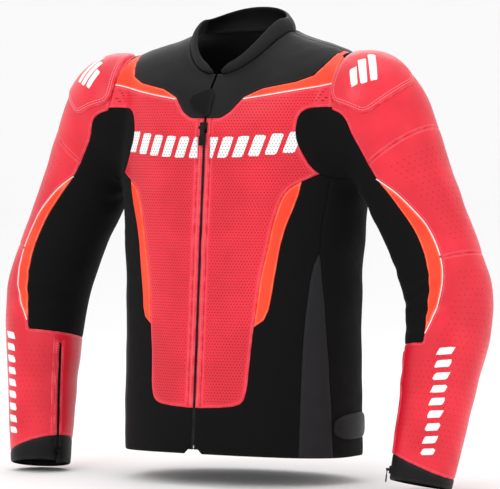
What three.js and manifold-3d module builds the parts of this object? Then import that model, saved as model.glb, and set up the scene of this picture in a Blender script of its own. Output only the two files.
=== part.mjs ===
// A leather motorcycle jacket, filled out as when it is worn, its panels, zips, armour and tabs as separate solids.
// Millimetres, +Z up, the front faces -Y and the wearer's left is +X.
// The origin is the middle of the neck opening, level with the seat on the shoulders.
import * as THREE from "three";
import { mergeVertices } from "three/addons/utils/BufferGeometryUtils.js";
import Module from "manifold-3d";

const wasm = await Module();
wasm.setup();

// ---- Driving dimensions -------------------------------------------------------------------------------------------
const BODY_LENGTH = 577; // shoulder seat to hem, at the side
const CHEST_HALF_WIDTH = 198; // widest, at the armholes
const CHEST_DEPTH = 239; // front to back at the armholes
const SLEEVE_REACH = 602; // shoulder seat down to the cuff's end
const SLEEVE_GIRTH = 62; // radius round the elbow
const COLLAR_RISE = 31; // collar above the shoulder, at the back of the neck
const SHELL = 4; // leather with its padding
const LINING = 1;
const GAP = 0.6; // between pieces that touch or are sewn together
const KERF = 0.6; // seam left between two panels of the shell
const ARMOUR = 8;
const PROTECTOR = 10;
const CUP = 5; // how far the shoulder cup stands out
const TAB_HEIGHT = 36;
const TAB_THICKNESS = 3;
const FLAP_THICKNESS = 2.6;
const LIFT = 30; // degrees a sleeve lifts
const LOWER = 5; // degrees a sleeve drops below rest
const FLEX = 70; // degrees an elbow folds
const EXTEND = 8; // degrees an elbow straightens
const FRONT_ZIP = { slot: 9, tape: 30, tooth: 2.8, post: 1, slider: 15, puller: 26 };
const CUFF_ZIP = { slot: 7.6, tape: 20, tooth: 2.2, post: 0.8, slider: 11, puller: 18 };

const RED = 0xd8142f;
const ORANGE = 0xff3c14;
const BLACK = 0x1c1c1d;
const STRETCH = 0x101011;
const GREY = 0x343434;
const METAL = 0x55565a;
const FOAM = 0x3a3f46;

// ---- The form: two families of rings ------------------------------------------------------------------------------
const width = CHEST_HALF_WIDTH / 198;
const depth = CHEST_DEPTH / 239;
const length = BODY_LENGTH / 577;
const reach = SLEEVE_REACH / 602;
const girth = SLEEVE_GIRTH / 62;
const FRONT_LEAN = 0.0745; // the front zip's line leans out this much for each millimetre down

// The front of the body below the chest: a straight line, so that the zip runs straight.
const frontDepth = (z) => 117 + FRONT_LEAN * (-z - 100);
// Half width, front depth, back depth, then the ring's height at front, side and back.
const TORSO_RINGS = [
  [179, frontDepth(-566), 128, -566, -574, -584],
  [180, frontDepth(-480), 120, -480, -483, -487],
  [181, frontDepth(-360), 112, -360, -360, -360],
  [185, frontDepth(-272), 115, -272, -272, -272],
  [191, frontDepth(-207), 121, -207, -207, -207],
  [196, frontDepth(-150), 124, -150, -150, -150],
  [198, 117, 122, -100, -98, -98],
  [196, 111.5, 115, -74, -38, -45],
  [183, 103.5, 101, -56, 1, -6],
  [143, 95, 87, -43, 17, 18],
  [105, 87, 73, -33, 27, 33],
  [76, 80, 62, -25, 38, 45],
].map(([half, front, back, ...heights]) => [
  half * width,
  front * depth,
  back * depth,
  ...heights.map((z) => (z < -100 ? -100 + (z + 100) * length : z)),
]);
const NECK = TORSO_RINGS.length - 1;
const SQUARENESS = 0.92; // under 1 squares the body's section a little
const SHOULDER_FALL = 1.6; // how the rings' height runs from front to side

// Centre x, y, z, the dip and the forward lean of the ring's axis in degrees, then the radius across and the radius fore and aft.
const SLEEVE_RINGS = [
  [150, -4, -82, 4, 0, 84, 66],
  [202, -4, -84, 14, 0, 90, 80],
  [229, -4, -102, 35, 0, 83, 75],
  [252, -4, -143, 53, 0, 72, 69],
  [276, -4, -197, 63, 0, 65, 65],
  [303, -4, -252, 68, 2, 62, 62],
  [323, -5, -300, 72, 4, 62, 62],
  [337, -8, -345, 80, 7, 62, 63],
  [339, -16, -395, 88, 10, 59, 60],
  [334, -28, -450, 92, 12, 54, 56],
  [329, -39, -505, 94, 12, 50, 51],
  [323, -51, -560, 95, 12, 47, 47],
  [319, -60, -602, 95, 12, 45, 44],
].map(([x, y, z, dip, lean, across, along], i) => [
  x + CHEST_HALF_WIDTH - 198,
  y,
  z < -100 ? -100 + (z + 100) * reach : z,
  dip,
  lean,
  across * (i < 3 ? 1 : girth),
  along * (i < 3 ? 1 : girth),
]);
const ELBOW = 7;
const CUFF_END = SLEEVE_RINGS.length - 1;

function spline(rows, t) {
  const last = rows.length - 1;
  const at = Math.min(Math.max(t, 0), last);
  const i = Math.min(Math.floor(at), last - 1);
  const f = at - i;
  return rows[i].map((p1, k) => {
    const p2 = rows[i + 1][k];
    const p0 = i > 0 ? rows[i - 1][k] : 2 * p1 - p2;
    const p3 = i < last - 1 ? rows[i + 2][k] : 2 * p2 - p1;
    const curve = (2 * p0 - 5 * p1 + 4 * p2 - p3) * f * f + (3 * p1 - p0 - 3 * p2 + p3) * f ** 3;
    return 0.5 * (2 * p1 + (p2 - p0) * f + curve);
  });
}

const rad = THREE.MathUtils.degToRad;
const power = (value, exponent) => Math.sign(value) * Math.abs(value) ** exponent;
const vec = (x, y, z) => new THREE.Vector3(x, y, z);

// The body's surface: angle in degrees from the front centre towards the wearer's left, level in rings up from the hem.
function torso(angle, level) {
  const [half, front, back, zFront, zSide, zBack] = spline(TORSO_RINGS, level);
  const s = Math.sin(rad(angle));
  const c = Math.cos(rad(angle));
  const ahead = c > 0;
  const past = 50 * Math.min(level, 0); // below the hem the surface runs straight down
  const z = zSide + ((ahead ? zFront : zBack) - zSide) * Math.abs(c) ** SHOULDER_FALL + past;
  return vec(half * power(s, SQUARENESS), -(ahead ? front : back) * power(c, SQUARENESS), z);
}

function sleeveFrame(s) {
  const [x, y, z, dip, lean, across, along] = spline(SLEEVE_RINGS, s);
  const t = rad(dip);
  const p = rad(lean);
  const axis = vec(Math.cos(t) * Math.cos(p), -Math.sin(p), -Math.sin(t) * Math.cos(p));
  const out = vec(Math.sin(t), 0, Math.cos(t));
  const fore = out.clone().cross(axis);
  return { centre: vec(x, y, z), axis, out, fore: fore.y > 0 ? fore.negate() : fore, across, along };
}

// The left sleeve's surface: s in rings down from the armhole, angle in degrees from its outer line towards its front.
function sleeve(s, angle) {
  const { centre, out, fore, across, along } = sleeveFrame(s);
  const a = rad(angle);
  return centre.addScaledVector(out, across * Math.cos(a)).addScaledVector(fore, along * Math.sin(a));
}

// A point of a surface moved out along its normal; away is a point that the normal points away from.
function moved(surface, u, v, distance, away) {
  const du = surface(u + 0.05, v).sub(surface(u - 0.05, v));
  const dv = surface(u, v + 0.01).sub(surface(u, v - 0.01));
  const normal = du.cross(dv).normalize();
  const point = surface(u, v);
  if (normal.dot(point.clone().sub(away)) < 0) normal.negate();
  return point.addScaledVector(normal, distance);
}
const BODY_MIDDLE = vec(0, 0, -200);
const torsoAt = (distance) => (angle, level) => moved(torso, angle, level, distance, BODY_MIDDLE);
const sleeveAt = (distance) => (s, angle) => moved(sleeve, s, angle, distance, sleeveFrame(s).centre);

// ---- Making solids ------------------------------------------------------------------------------------------------
function geometryOf(positions, index) {
  const geometry = new THREE.BufferGeometry();
  geometry.setAttribute("position", new THREE.Float32BufferAttribute(positions.flatMap((p) => [p.x, p.y, p.z]), 3));
  geometry.setIndex(index);
  return geometry;
}

function solidOf(geometry) {
  const plain = geometry.clone();
  plain.deleteAttribute("normal");
  plain.deleteAttribute("uv");
  const merged = mergeVertices(plain, 1e-3);
  const make = (index) =>
    new wasm.Manifold(
      new wasm.Mesh({ numProp: 3, vertProperties: merged.attributes.position.array, triVerts: new Uint32Array(index) }),
    );
  const solid = make(merged.index.array);
  if (solid.volume() > 0) return solid;
  return make(Array.from(merged.index.array).reverse());
}

// The solid between two surfaces, over a grid of the given parameters.
function patch(outer, inner, us, vs) {
  const rows = us.length;
  const columns = vs.length;
  const points = [outer, inner].flatMap((side) => us.flatMap((u) => vs.map((v) => side(u, v))));
  const at = (side, i, j) => side * rows * columns + i * columns + j;
  const index = [];
  const quad = (p, q, r, t) => index.push(p, q, r, p, r, t);
  for (let i = 0; i + 1 < rows; i++)
    for (let j = 0; j + 1 < columns; j++) {
      quad(at(0, i, j), at(0, i + 1, j), at(0, i + 1, j + 1), at(0, i, j + 1));
      quad(at(1, i, j), at(1, i, j + 1), at(1, i + 1, j + 1), at(1, i + 1, j));
    }
  for (let j = 0; j + 1 < columns; j++) {
    quad(at(0, 0, j), at(0, 0, j + 1), at(1, 0, j + 1), at(1, 0, j));
    quad(at(0, rows - 1, j), at(1, rows - 1, j), at(1, rows - 1, j + 1), at(0, rows - 1, j + 1));
  }
  for (let i = 0; i + 1 < rows; i++) {
    quad(at(0, i, 0), at(1, i, 0), at(1, i + 1, 0), at(0, i + 1, 0));
    const end = columns - 1;
    quad(at(0, i, end), at(0, i + 1, end), at(1, i + 1, end), at(1, i, end));
  }
  return solidOf(geometryOf(points, index));
}

// A closed tube through rings of points, with a flat fan on each end.
function tube(rings) {
  const around = rings[0].length;
  const points = rings.flat();
  const index = [];
  const at = (i, j) => i * around + (j % around);
  for (let i = 0; i + 1 < rings.length; i++)
    for (let j = 0; j < around; j++)
      index.push(at(i, j), at(i + 1, j), at(i + 1, j + 1), at(i, j), at(i + 1, j + 1), at(i, j + 1));
  for (const [ring, turned] of [[0, false], [rings.length - 1, true]]) {
    const middle = rings[ring].reduce((sum, p) => sum.add(p), vec(0, 0, 0)).divideScalar(around);
    points.push(middle);
    for (let j = 0; j < around; j++) {
      const edge = turned ? [at(ring, j + 1), at(ring, j)] : [at(ring, j), at(ring, j + 1)];
      index.push(points.length - 1, ...edge);
    }
  }
  return solidOf(geometryOf(points, index));
}

const TORSO_SIDES = 24;
const SLEEVE_SIDES = 12;
const SLEEVE_STEPS = 10;
const steps = (from, to, count) => Array.from({ length: count + 1 }, (_, i) => from + ((to - from) * i) / count);
const LEVELS = [...steps(0, NECK, NECK)];

// The body as a closed solid, its surface moved in by inset; past lengthens it beyond hem and neck.
function torsoSolid(inset, past) {
  const surface = torsoAt(-inset);
  const ring = (level) => steps(0, 360, TORSO_SIDES).slice(0, -1).map((angle) => surface(angle, level));
  const rings = LEVELS.map(ring);
  if (past) {
    rings.unshift(rings[0].map((p) => p.clone().add(vec(0, 0, -past))));
    rings.push(rings.at(-1).map((p) => p.clone().add(vec(0, 0, past))));
  }
  return tube(rings);
}

function sleeveSolid(inset, past) {
  const surface = sleeveAt(-inset);
  const ring = (s) => steps(0, 360, SLEEVE_SIDES).slice(0, -1).map((angle) => surface(s, angle));
  const rings = steps(0, CUFF_END, SLEEVE_STEPS).map(ring);
  if (past) {
    const { axis } = sleeveFrame(CUFF_END);
    rings.push(rings.at(-1).map((p) => p.clone().addScaledVector(axis, past)));
  }
  return tube(rings);
}

// A prism: an outline of [x, z] points pushed from y = from to y = to.
function prism(outline, from, to) {
  const shape = new THREE.Shape(outline.map(([x, z]) => new THREE.Vector2(x, z)));
  const geometry = new THREE.ExtrudeGeometry(shape, { depth: to - from, bevelEnabled: false });
  geometry.applyMatrix4(new THREE.Matrix4().makeRotationX(Math.PI / 2));
  geometry.translate(0, to, 0);
  return solidOf(geometry);
}

// The same with an outline of [y, z] points pushed along x.
function sidePrism(outline, from, to) {
  const shape = new THREE.Shape(outline.map(([y, z]) => new THREE.Vector2(y, z)));
  const geometry = new THREE.ExtrudeGeometry(shape, { depth: to - from, bevelEnabled: false });
  const basis = new THREE.Matrix4().makeBasis(vec(0, 1, 0), vec(0, 0, 1), vec(1, 0, 0));
  geometry.applyMatrix4(basis);
  geometry.translate(from, 0, 0);
  return solidOf(geometry);
}

// A thin wall through a surface along a line of its parameters: cutting with it leaves a seam one kerf wide.
function seamWall(surfaceAt, line) {
  const low = line.map(([u, v]) => surfaceAt(-14)(u, v));
  const high = line.map(([u, v]) => surfaceAt(14)(u, v));
  const sides = line.map((_, i) => {
    const run = high[Math.min(i + 1, line.length - 1)].clone().sub(high[Math.max(i - 1, 0)]);
    return run.cross(high[i].clone().sub(low[i])).normalize().multiplyScalar(KERF / 2);
  });
  const sheet = (sign) => (i, top) => (top ? high : low)[i].clone().addScaledVector(sides[i], sign);
  return patch(sheet(1), sheet(-1), [...line.keys()], [0, 1]);
}

// More points along a line of parameters, so that a seam follows the surface.
const along = (points, each = 1) =>
  points.flatMap((p, i) => {
    if (i === points.length - 1) return [p];
    return steps(0, 1, each).slice(0, -1).map((f) => p.map((x, k) => x + (points[i + 1][k] - x) * f));
  });

// The body's level at a height, on a line at one angle.
function levelAt(angle, z) {
  const hem = torso(angle, 0).z;
  if (z < hem) return (z - hem) / 50;
  let low = 0;
  let high = NECK;
  for (let i = 0; i < 40; i++) {
    const middle = (low + high) / 2;
    if (torso(angle, middle).z < z) low = middle;
    else high = middle;
  }
  return low;
}

const block = (x0, x1, y0, y1, z0, z1) => {
  const geometry = new THREE.BoxGeometry(x1 - x0, y1 - y0, z1 - z0);
  geometry.translate((x0 + x1) / 2, (y0 + y1) / 2, (z0 + z1) / 2);
  return solidOf(geometry);
};

// A rod along x.
function rod(x0, x1, y, z, radius, sides = 12) {
  const geometry = new THREE.CylinderGeometry(radius, radius, x1 - x0, sides);
  geometry.rotateZ(Math.PI / 2);
  geometry.translate((x0 + x1) / 2, y, z);
  return solidOf(geometry);
}

function ball([x, y, z], radius) {
  const geometry = new THREE.SphereGeometry(radius, 8, 6);
  geometry.translate(x, y, z);
  return solidOf(geometry);
}

// The separate body of a solid that shares most with a probe.
function sharing(solid, probe) {
  let best = null;
  let most = 0;
  for (const piece of solid.decompose()) {
    const shared = piece.intersect(probe).volume();
    if (shared > most) {
      most = shared;
      best = piece;
    }
  }
  if (!best) throw new Error("a panel has no body at its probe");
  return best;
}
const pieceAt = (solid, point) => sharing(solid, ball(point, 4));

const largest = (solid) => solid.decompose().reduce((a, b) => (b.volume() > a.volume() ? b : a));
const joined = (solids) => solids.reduce((sum, solid) => sum.add(solid));
const without = (solid, cuts) => cuts.reduce((rest, cut) => rest.subtract(cut), solid);
const mirrored = (solid) => solid.mirror([1, 0, 0]);
const both = (solid) => [solid, mirrored(solid)];
const FAR = 900;

// A slab across a point, square to a direction; and everything beyond a plane.
function slab(point, direction, thickness = KERF) {
  const geometry = new THREE.BoxGeometry(FAR, FAR, thickness);
  const turn = new THREE.Quaternion().setFromUnitVectors(vec(0, 0, 1), direction.clone().normalize());
  geometry.applyQuaternion(turn);
  geometry.translate(point.x, point.y, point.z);
  return solidOf(geometry);
}
const beyond = (point, direction) => {
  const ahead = direction.clone().normalize().multiplyScalar(FAR / 2);
  return slab(point.clone().add(ahead), direction, FAR);
};

// ---- The shell and where it divides -------------------------------------------------------------------------------
const PAST = 40;
const body = (inset, past = 0) => joined([torsoSolid(inset, past), ...both(sleeveSolid(inset, past))]);
const layer = (from, to) => body(from).subtract(body(to, PAST));
const shell = layer(0, SHELL);
const over = body(-GAP); // anything worn on the shell is cut back to this
const under = body(SHELL + GAP); // anything inside it is kept within this

// The armhole's plane runs from the top of the shoulder to the armpit; the sleeve lifts about a line on it.
const SHOULDER_TOP = [CHEST_HALF_WIDTH - 20, 8];
const ARMPIT = [CHEST_HALF_WIDTH - 1, -192];
const LIFT_DROP = 63; // the lift's axis lies this far below the top of the shoulder
const HOLE_SLOPE = (ARMPIT[0] - SHOULDER_TOP[0]) / (SHOULDER_TOP[1] - ARMPIT[1]);
const armholeX = (z) => SHOULDER_TOP[0] + HOLE_SLOPE * (SHOULDER_TOP[1] - z);
const LIFT_Z = SHOULDER_TOP[1] - LIFT_DROP;
const LIFT_X = armholeX(LIFT_Z);
const ABOVE = 80;
const BELOW = 185;
const HINGE_NECK = 1.5;
// The gusset's two faces, open by half the lift above the axis and by half the drop below it; grown on each side.
function armholeFaces(grow) {
  const rows = [
    [LIFT_Z + ABOVE, Math.tan(rad(LIFT / 2)) * ABOVE],
    [LIFT_Z, 0],
    [LIFT_Z - BELOW, Math.tan(rad(LOWER / 2)) * BELOW],
  ];
  const face = (side) => rows.map(([z, open]) => [armholeX(z) + side * (open + HINGE_NECK + grow), z]);
  return [face(-1), face(1)];
}
const outwardOf = (face) =>
  prism([...face, [face[2][0] + 30, -FAR], [FAR, -FAR], [FAR, LIFT_Z + ABOVE]], -FAR, FAR);
const [nearFace, farFace] = armholeFaces(0);
const [nearWide, farWide] = armholeFaces(GAP);
const armholeBand = prism([...nearFace, ...farFace.toReversed()], -FAR, FAR);
const sleeveShell = shell.intersect(outwardOf(farWide));
const torsoShell = without(shell, both(outwardOf(nearWide)));

// The elbow's gusset: open at the front by half the fold and at the back by half the stretch, about the elbow's axis.
const elbow = sleeveFrame(ELBOW);
const ELBOW_REACH = 110;
// Everything below the gusset's upper face, or below its lower face.
function belowElbow(side, grow) {
  const front = side * (Math.tan(rad(FLEX / 2)) * ELBOW_REACH + HINGE_NECK + grow);
  const back = side * (Math.tan(rad(EXTEND / 2)) * ELBOW_REACH + HINGE_NECK + grow);
  const neck = side * (HINGE_NECK + grow);
  const outline = [[ELBOW_REACH, front], [0, neck], [-ELBOW_REACH, back], [-ELBOW_REACH, -FAR], [ELBOW_REACH, -FAR]];
  const shape = new THREE.Shape(outline.map(([x, y]) => new THREE.Vector2(x, y)));
  const geometry = new THREE.ExtrudeGeometry(shape, { depth: 2 * ELBOW_REACH, bevelEnabled: false });
  geometry.translate(0, 0, -ELBOW_REACH);
  const upward = elbow.axis.clone().negate();
  geometry.applyMatrix4(new THREE.Matrix4().makeBasis(elbow.fore, upward, elbow.fore.clone().cross(upward)));
  geometry.translate(...elbow.centre.toArray());
  return solidOf(geometry);
}
const upperShell = sleeveShell.subtract(belowElbow(1, GAP));
const forearmShell = sleeveShell.intersect(belowElbow(-1, GAP));
const elbowGusset = sleeveShell.intersect(belowElbow(1, 0)).subtract(belowElbow(-1, 0));

// ---- Seams of the body, each [x, z] in the front view --------------------------------------------------------------
function ribbon(points, half) {
  const left = [];
  const right = [];
  points.forEach(([x, z], i) => {
    const [ax, az] = points[Math.max(i - 1, 0)];
    const [bx, bz] = points[Math.min(i + 1, points.length - 1)];
    const size = Math.hypot(bx - ax, bz - az);
    left.push([x - ((bz - az) / size) * half, z + ((bx - ax) / size) * half]);
    right.push([x + ((bz - az) / size) * half, z - ((bx - ax) / size) * half]);
  });
  return [...left, ...right.reverse()];
}
const sized = (points) => points.map(([x, z]) => [x * width, z < -100 ? -100 + (z + 100) * length : z]);
const down = (z) => (z < -100 ? -100 + (z + 100) * length : z);
// A seam cut through the front only, or through the back only.
const frontSeam = (points) => prism(ribbon(sized(points), KERF / 2), -FAR, 0);
const backSeam = (points) => prism(ribbon(sized(points), KERF / 2), 0, FAR);

const ZIP_TOP = -93;
const YOKE_EDGE = [[-1, -88], [32, -87], [63, -49], [147, -32], [161, -8], [164, 60]];
const TRIM_EDGE = [[53, -60.8], [110, -52], [230, -30]];
const CHEST_SIDE = [[230, -72], [152, -72], [138, -81], [134, -105], [137, -124], [160, -169], [230, -185]];
const CHEST_EDGE = [[160.5, -168.7], [122, -189], [108, -235], [102, -270], [92, -316], [86, -384], [82, -425], [79, -484], [66, -498], [-1, -501]];
const STRIP_EDGE = [[142.2, -178], [139, -200], [120, -255], [111, -316], [103, -372], [85.6, -384.4]];
const BACK_YOKE_EDGE = [[-300, -90], [-110, -84], [0, -74], [110, -84], [300, -90]];
const BACK_EDGE = [[-300, -330], [-90, -330], [-60, -400], [60, -400], [90, -330], [300, -330]];

// A seam round the side, each [angle, z]; the first and last points run past the panel's ends.
const sideSeam = (points) => seamWall(torsoAt, along(points.map(([angle, z]) => [angle, levelAt(angle, down(z))])));
const FRONT_SIDE_SEAM = [[52, -620], [52, -488], [53, -387], [56, -302], [60.5, -277], [60, -245], [62, -200], [63, -170]];
const INSERT_REAR = [[59.4, -281.5], [61, -284], [66, -360], [71, -476], [75, -620]];
const SIDE_SEAM = [[112, -130], [114, -250], [113, -400], [116, -560], [117, -620]];

const centreGap = prism(
  [[-FRONT_ZIP.slot / 2, down(ZIP_TOP)], [FRONT_ZIP.slot / 2, down(ZIP_TOP)], [FRONT_ZIP.slot / 2, -FAR], [-FRONT_ZIP.slot / 2, -FAR]],
  -FAR,
  0,
);
const cutTorso = without(torsoShell, [
  centreGap,
  frontSeam([[0, 60], [0, -120]]),
  ...both(block(50, FAR, -KERF / 2, KERF / 2, -60, FAR)),
  ...[YOKE_EDGE, TRIM_EDGE, CHEST_SIDE, CHEST_EDGE, STRIP_EDGE].flatMap((points) => both(frontSeam(points))),
  ...[FRONT_SIDE_SEAM, INSERT_REAR, SIDE_SEAM].flatMap((points) => both(sideSeam(points))),
  backSeam(BACK_YOKE_EDGE),
  backSeam(BACK_EDGE),
]);
const reachOf = 3;
const panelAhead = ([x, z]) => sharing(cutTorso, block(x - reachOf, x + reachOf, -FAR, 0, down(z) - reachOf, down(z) + reachOf));
const panelBehind = ([x, z]) => sharing(cutTorso, block(x - reachOf, x + reachOf, 0, FAR, down(z) - reachOf, down(z) + reachOf));
const panelBeside = ([y, z]) => sharing(cutTorso, block(0, FAR, y - reachOf, y + reachOf, down(z) - reachOf, down(z) + reachOf));

// ---- Seams of the sleeve, each [s, angle] --------------------------------------------------------------------------
const sleeveSeam = (points) => seamWall(sleeveAt, along(points));
const STRETCH_FRONT = [[0.2, 84], [1, 88], [2, 103], [3, 103], [3.5, 100], [4.1, 90], [5, 80], [6, 80], [7.4, 95]];
const STRETCH_BACK = [[0.2, 268], [1, 266], [3, 258], [7.4, 250]];
const ARM_TRIM_EDGE = [[3.42, 101.5], [3.5, 99], [4, 82], [4.5, 71], [5, 62], [5.7, 60], [6.3, 63], [7.4, 80]];
const headSeam = slab(sleeveFrame(3).centre, sleeveFrame(3).axis);
const cutUpper = without(upperShell, [sleeveSeam(STRETCH_FRONT), sleeveSeam(STRETCH_BACK), sleeveSeam(ARM_TRIM_EDGE)]);
const sleeveProbe = (s, angle) => sleeveAt(-SHELL / 2)(s, angle).toArray();
const innerSleeve = pieceAt(cutUpper, sleeveProbe(4, 180));
const armTrim = pieceAt(cutUpper, sleeveProbe(5, 71));
const outerSleeve = pieceAt(cutUpper, sleeveProbe(4, 0)).subtract(headSeam);

const shoulderHead = pieceAt(outerSleeve, sleeveProbe(2.2, 0));
const upperArm = pieceAt(outerSleeve, sleeveProbe(4.2, 0));

// The cuff begins at a slanting plane, lower on the outside of the arm.
const cuffEdge = [[11.65, 20], [11.1, 165], [11.35, 270]].map(([s, angle]) => sleeve(s, angle));
const cuffNormal = cuffEdge[1].clone().sub(cuffEdge[0]).cross(cuffEdge[2].clone().sub(cuffEdge[0]));
const cuffSeam = slab(cuffEdge[0], cuffNormal);

// ---- Zips: a frame at the top of each, u across, v out of the garment, w down the zip ------------------------------
function zipFrame(top, bottom, outward) {
  const w = bottom.clone().sub(top).normalize();
  const v = outward.clone().addScaledVector(w, -outward.dot(w)).normalize();
  const u = v.clone().cross(w);
  return { matrix: new THREE.Matrix4().makeBasis(u, v, w).setPosition(top), run: top.distanceTo(bottom) };
}
const placed = (solid, frame) => solid.transform(frame.matrix.elements);
const CHAIN_SINK = 1; // the teeth lie this far below the surface
const CHAIN_THICK = 2.2;
const PIN_HEIGHT = 4.6; // the puller's pin above the surface

// The slider, its plates above and below the teeth and a post between them, its middle at w = at.
function sliderSolid({ tooth, post, slider }, at) {
  const half = slider / 2;
  const plate = tooth + 3.2;
  const back = -CHAIN_SINK - CHAIN_THICK - 0.4;
  return joined([
    block(-plate, plate, 0.6, 2, at - half, at + half),
    block(-post / 2, post / 2, back - 1, 0.7, at - half, at + half),
    block(-tooth - 0.4, tooth + 0.4, back - 1, back, at - half, at + half),
    block(-plate, -plate + 1.4, 1.9, PIN_HEIGHT + 1.3, at - 2, at + 2),
    block(plate - 1.4, plate, 1.9, PIN_HEIGHT + 1.3, at - 2, at + 2),
    rod(-plate + 0.4, plate - 0.4, PIN_HEIGHT, at, 0.8, 8),
  ]);
}

// The puller, an eye round the slider's pin and the tab that hangs from it.
function pullerSolid({ tooth, puller }, at) {
  const half = tooth + 1.2;
  const eye = rod(-half, half, PIN_HEIGHT, at, 2, 10);
  const neck = block(-half, half, PIN_HEIGHT - 0.7, PIN_HEIGHT + 0.7, at + 0.6, at + puller * 0.5);
  const grip = block(-half - 1, half + 1, PIN_HEIGHT - 1, PIN_HEIGHT + 1, at + puller * 0.45, at + puller);
  return joined([eye, neck, grip]).subtract(rod(-half - 1, half + 1, PIN_HEIGHT, at, 1.2, 8));
}

// One side of a zip: its row of teeth, a web down through the opening and the tape behind the shell.
const TAPE_DEPTH = SHELL + 1.9;
function zipSide({ tooth, post, tape }, from, to) {
  return joined([
    block(post / 2 + 0.4, tooth + 1.1, -CHAIN_SINK - CHAIN_THICK, -CHAIN_SINK, from, to),
    block(tooth + 0.8, tooth + 1.3, -TAPE_DEPTH - 1.6, -CHAIN_SINK, from, to),
  ]);
}
const zipTape = ({ tooth, tape }, from, to) => block(tooth + 0.8, tape / 2, -TAPE_DEPTH - 1.6, -TAPE_DEPTH, from, to);
const slotSolid = ({ slot }, to) => block(-slot / 2, slot / 2, -20, 20, 0, to);

const frontY = (z) => -depth * frontDepth(-100 + (z + 100) / length);
const HEM_FRONT = TORSO_RINGS[0][3];
const frontZip = zipFrame(vec(0, frontY(ZIP_TOP), ZIP_TOP), vec(0, frontY(HEM_FRONT + 5), HEM_FRONT + 5), vec(0, -1, 0));
const FRONT_CLOSED = FRONT_ZIP.slider / 2 + 1; // where the slider stands when the jacket is shut
const leftSide = placed(zipSide(FRONT_ZIP, 0.5, frontZip.run), frontZip);
const leftTape = placed(zipTape(FRONT_ZIP, 0.5, frontZip.run), frontZip).intersect(under);

const cuffMiddle = sleeve(10.4, 154);
const cuffZip = zipFrame(sleeve(8.6, 150), sleeve(CUFF_END, 158), cuffMiddle.clone().sub(sleeveFrame(10.4).centre));
const CUFF_CLOSED = cuffZip.run - 14;
const cuffSides = placed(both(zipSide(CUFF_ZIP, 0.5, cuffZip.run - 1)).reduce((a, b) => a.add(b)), cuffZip);
const cuffTape = placed(
  joined([...both(zipTape(CUFF_ZIP, -8, cuffZip.run - 1)), block(-CUFF_ZIP.tape / 2, CUFF_ZIP.tape / 2, -TAPE_DEPTH - 1.6, -TAPE_DEPTH, -8, -1)]),
  cuffZip,
).intersect(under);
const cuffSlot = placed(slotSolid(CUFF_ZIP, cuffZip.run + 30), cuffZip);

// ---- Pieces worn on the shell or kept inside it --------------------------------------------------------------------
const COLLAR_THICK = 5;
const COLLAR_FRONT = 5; // degrees from the centre to the collar's front edge
const COLLAR_SEAM = 95;
const collarRings = [
  [...TORSO_RINGS[NECK]],
  [66 * width, 84 * depth, 52 * depth, -12, TORSO_RINGS[NECK][4] + 19, TORSO_RINGS[NECK][5] + COLLAR_RISE],
];
function collarPoint(inset) {
  return (t, angle) => {
    const [half, front, back, zFront, zSide, zBack] = collarRings[0].map((x, k) => x + (collarRings[1][k] - x) * t);
    const s = Math.sin(rad(angle));
    const c = Math.cos(rad(angle));
    const ahead = c > 0;
    const belly = 2.5 * Math.sin(Math.PI * t) - inset;
    const z = zSide + ((ahead ? zFront : zBack) - zSide) * Math.abs(c) ** SHOULDER_FALL + 0.8 * (1 - t);
    return vec((half + belly) * power(s, SQUARENESS), -((ahead ? front : back) + belly) * power(c, SQUARENESS), z);
  };
}
const neckClear = without(over, [block(-FAR, FAR, -FAR, FAR, -FAR, -60)]);
const collar = (from, to) => {
  const inner = steps(0, 360, TORSO_SIDES).filter((a) => a > from + 2 && a < to - 2);
  const angles = [from, ...inner, to];
  return patch(collarPoint(0), collarPoint(COLLAR_THICK), [0, 0.5, 1], angles).subtract(neckClear);
};
const collarBack = collar(COLLAR_SEAM + 0.2, 360 - COLLAR_SEAM - 0.2);
const collarFront = collar(COLLAR_FRONT, COLLAR_SEAM);

// A surface of the body by angle and height.
const atHeight = (distance) => (angle, z) => torsoAt(distance)(angle, levelAt(angle, z));
const LINED = SHELL + GAP + LINING;
const lining = without(torsoSolid(SHELL + GAP, 0).subtract(torsoSolid(LINED, PAST)), [
  ...both(block(armholeX(0) - 45, FAR, -FAR, FAR, ARMPIT[1] - 12, FAR)),
  block(-FAR, FAR, -FAR, FAR, -100, FAR),
  block(-17, 17, -FAR, 0, -FAR, FAR),
  block(-FAR, FAR, -FAR, FAR, -FAR, down(-545)),
]);
const TURN = 360 / TORSO_SIDES;
const protector = patch(
  torsoAt(-LINED - GAP),
  torsoAt(-LINED - GAP - PROTECTOR),
  [180 - 2 * TURN, 180 - TURN, 180, 180 + TURN, 180 + 2 * TURN],
  steps(2, 7, 5),
);
const hangerLoop = patch(torsoAt(-SHELL - GAP), torsoAt(-SHELL - GAP - 2), [172, 180, 188], [10.1, 10.5, 10.9]).intersect(under);
const FOOT = TORSO_RINGS[0][4]; // the connection zip's flat lower face
const connectionZip = patch(atHeight(-SHELL), atHeight(-SHELL - 3.4), steps(130, 230, 10), [FOOT - 4, FOOT + 10, FOOT + 22])
  .intersect(under)
  .subtract(block(-FAR, FAR, -FAR, FAR, -FAR, FOOT));

const throatFlap = prism([[9, -44], [-24, -52], [-32, -62], [-24, -76], [-4, -87], [9, -85]], -FAR, 0)
  .intersect(torsoSolid(-GAP - FLAP_THICKNESS, 0))
  .subtract(over);
const TAB_TOP = down(-512);
const waistTab = patch(
  atHeight(GAP + TAB_THICKNESS),
  atHeight(-2),
  [74, 80, 90, 100, 112],
  [TAB_TOP - TAB_HEIGHT, TAB_TOP - TAB_HEIGHT / 2, TAB_TOP],
).subtract(over);

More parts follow.
